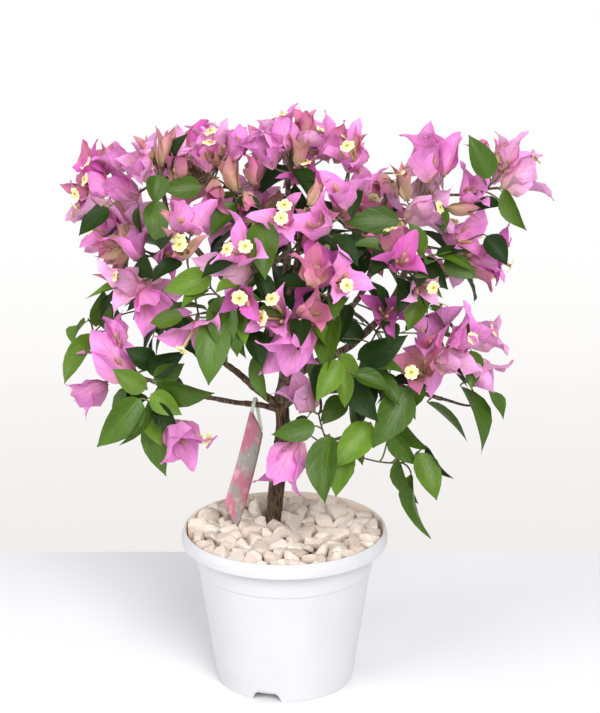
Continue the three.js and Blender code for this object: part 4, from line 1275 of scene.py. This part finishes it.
    def make(self, finishes, masses):
        """Makes each kind into a piece of its own and puts them in place of the masses."""
        made = []
        for kind, parts in self.blades.items():
            grids = np.concatenate([grid for grid, _ in parts])
            tone = np.concatenate([tone for _, tone in parts])
            slot = "bloom" if kind in BRACTS else "leaves"
            made.append(sheets(kind + "s", grids, finishes[kind], tone))
        shoots, shoot_radii = (np.stack(part) for part in zip(*self.shoots))
        tube_girth = np.array([0.8, 1.15, 1.3, 1.05, 0.95, 1.1, 1.3]) * MM
        bud_girth = tube_girth * np.array([1, 1, 1, 1, 1.1, 1.35, 0.75])
        stalk_girth = np.array([0.55, 0.45, 0.4, 0.45]) * MM
        twig_girth = np.linspace(0.8, 0.55, TWIG_ROWS) * MM
        for name, paths, radii, sides, finish, slot in (
                ("shoots", shoots, shoot_radii, 7, "bough", "bark"),
                ("twigs", np.concatenate(self.twigs), twig_girth, 6, "stem", "leaves"),
                ("leaf_stalks", np.concatenate(self.stalks), stalk_girth, 5, "stem", "leaves"),
                ("flower_tubes", np.concatenate(self.tubes), tube_girth, 6, "tube", "flower"),
                ("flower_buds", np.concatenate(self.buds), bud_girth, 6, "bud", "flower")):
            made.append(stems(name, paths, radii, sides, finishes[finish], slot))
        made.append(self.make_stars(finishes["star"]))
        for piece in made:
            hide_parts(*masses)

    def make_stars(self, finish):
        """Star limbs: round the mouth the reach swings five times between notch and lobe, each lobe
        is nicked at its tip, and the limb bends back a little towards its edge."""
        place, axis, size, start = (np.concatenate([part[k] for part in self.stars]) for k in range(4))
        turn = -np.linspace(0, 2 * math.pi, 30, endpoint=False)
        outer = 0.88 + 0.06 * np.cos(5 * turn) - 0.07 * np.cos(10 * turn)
        share = np.array([0.14, 0.5, 1.0])[:, None]
        reach = share * (0.84 + (outer - 0.84) * share)
        rise = 0.1 * np.sin(math.pi * share) - 0.06 * share**2 + 0.09 * np.cos(5 * turn + 1) * share**2
        right = square_to(axis, np.array([0.3, 0.2, 0.9]))[:, None]
        flat = round_about(axis[:, None], right, turn[None] + start[:, None])[:, None]
        grid = (place[:, None, None] + size[:, None, None, None] * (reach[None, ..., None] * flat
                + rise[None, ..., None] * axis[:, None, None]))
        return sheets("flower_stars", grid, finish, ring=True)


def add_crown(wood, finishes):
    """Grows the masses one after another, those nearest to the boughs first, and makes the pieces."""
    masses = [Mass(name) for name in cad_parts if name.startswith(("bloom_", "leaves_"))]
    masses.sort(key=lambda mass: np.linalg.norm(wood.points - mass.middle, axis=1).min())
    bush = Bush()
    for mass in masses:
        grow_spray(mass, wood, bush)
    for mass in masses:
        if mass.name in PLACED_LEAVES:
            bush.place_leaves(mass, wood)
    bush.make(finishes, [mass.name for mass in masses])


# ---- the whole bush -------------------------------------------------------------------------

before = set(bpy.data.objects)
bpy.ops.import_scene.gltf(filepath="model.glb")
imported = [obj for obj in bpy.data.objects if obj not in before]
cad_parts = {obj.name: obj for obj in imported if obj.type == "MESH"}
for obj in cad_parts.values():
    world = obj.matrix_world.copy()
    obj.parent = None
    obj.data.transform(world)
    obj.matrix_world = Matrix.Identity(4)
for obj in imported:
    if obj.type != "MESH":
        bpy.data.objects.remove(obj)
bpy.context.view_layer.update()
add_camera()
add_studio()
finishes = make_finishes()
add_pot(finishes["plastic"])
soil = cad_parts["soil"]
soil.data.materials.clear()
soil.data.materials.append(finishes["soil"])
add_stones(finishes["stone"])
add_label(finishes["card"], finishes["strap"])
add_trunk(finishes["trunk"])
add_crown(add_boughs(finishes["bough"]), finishes)
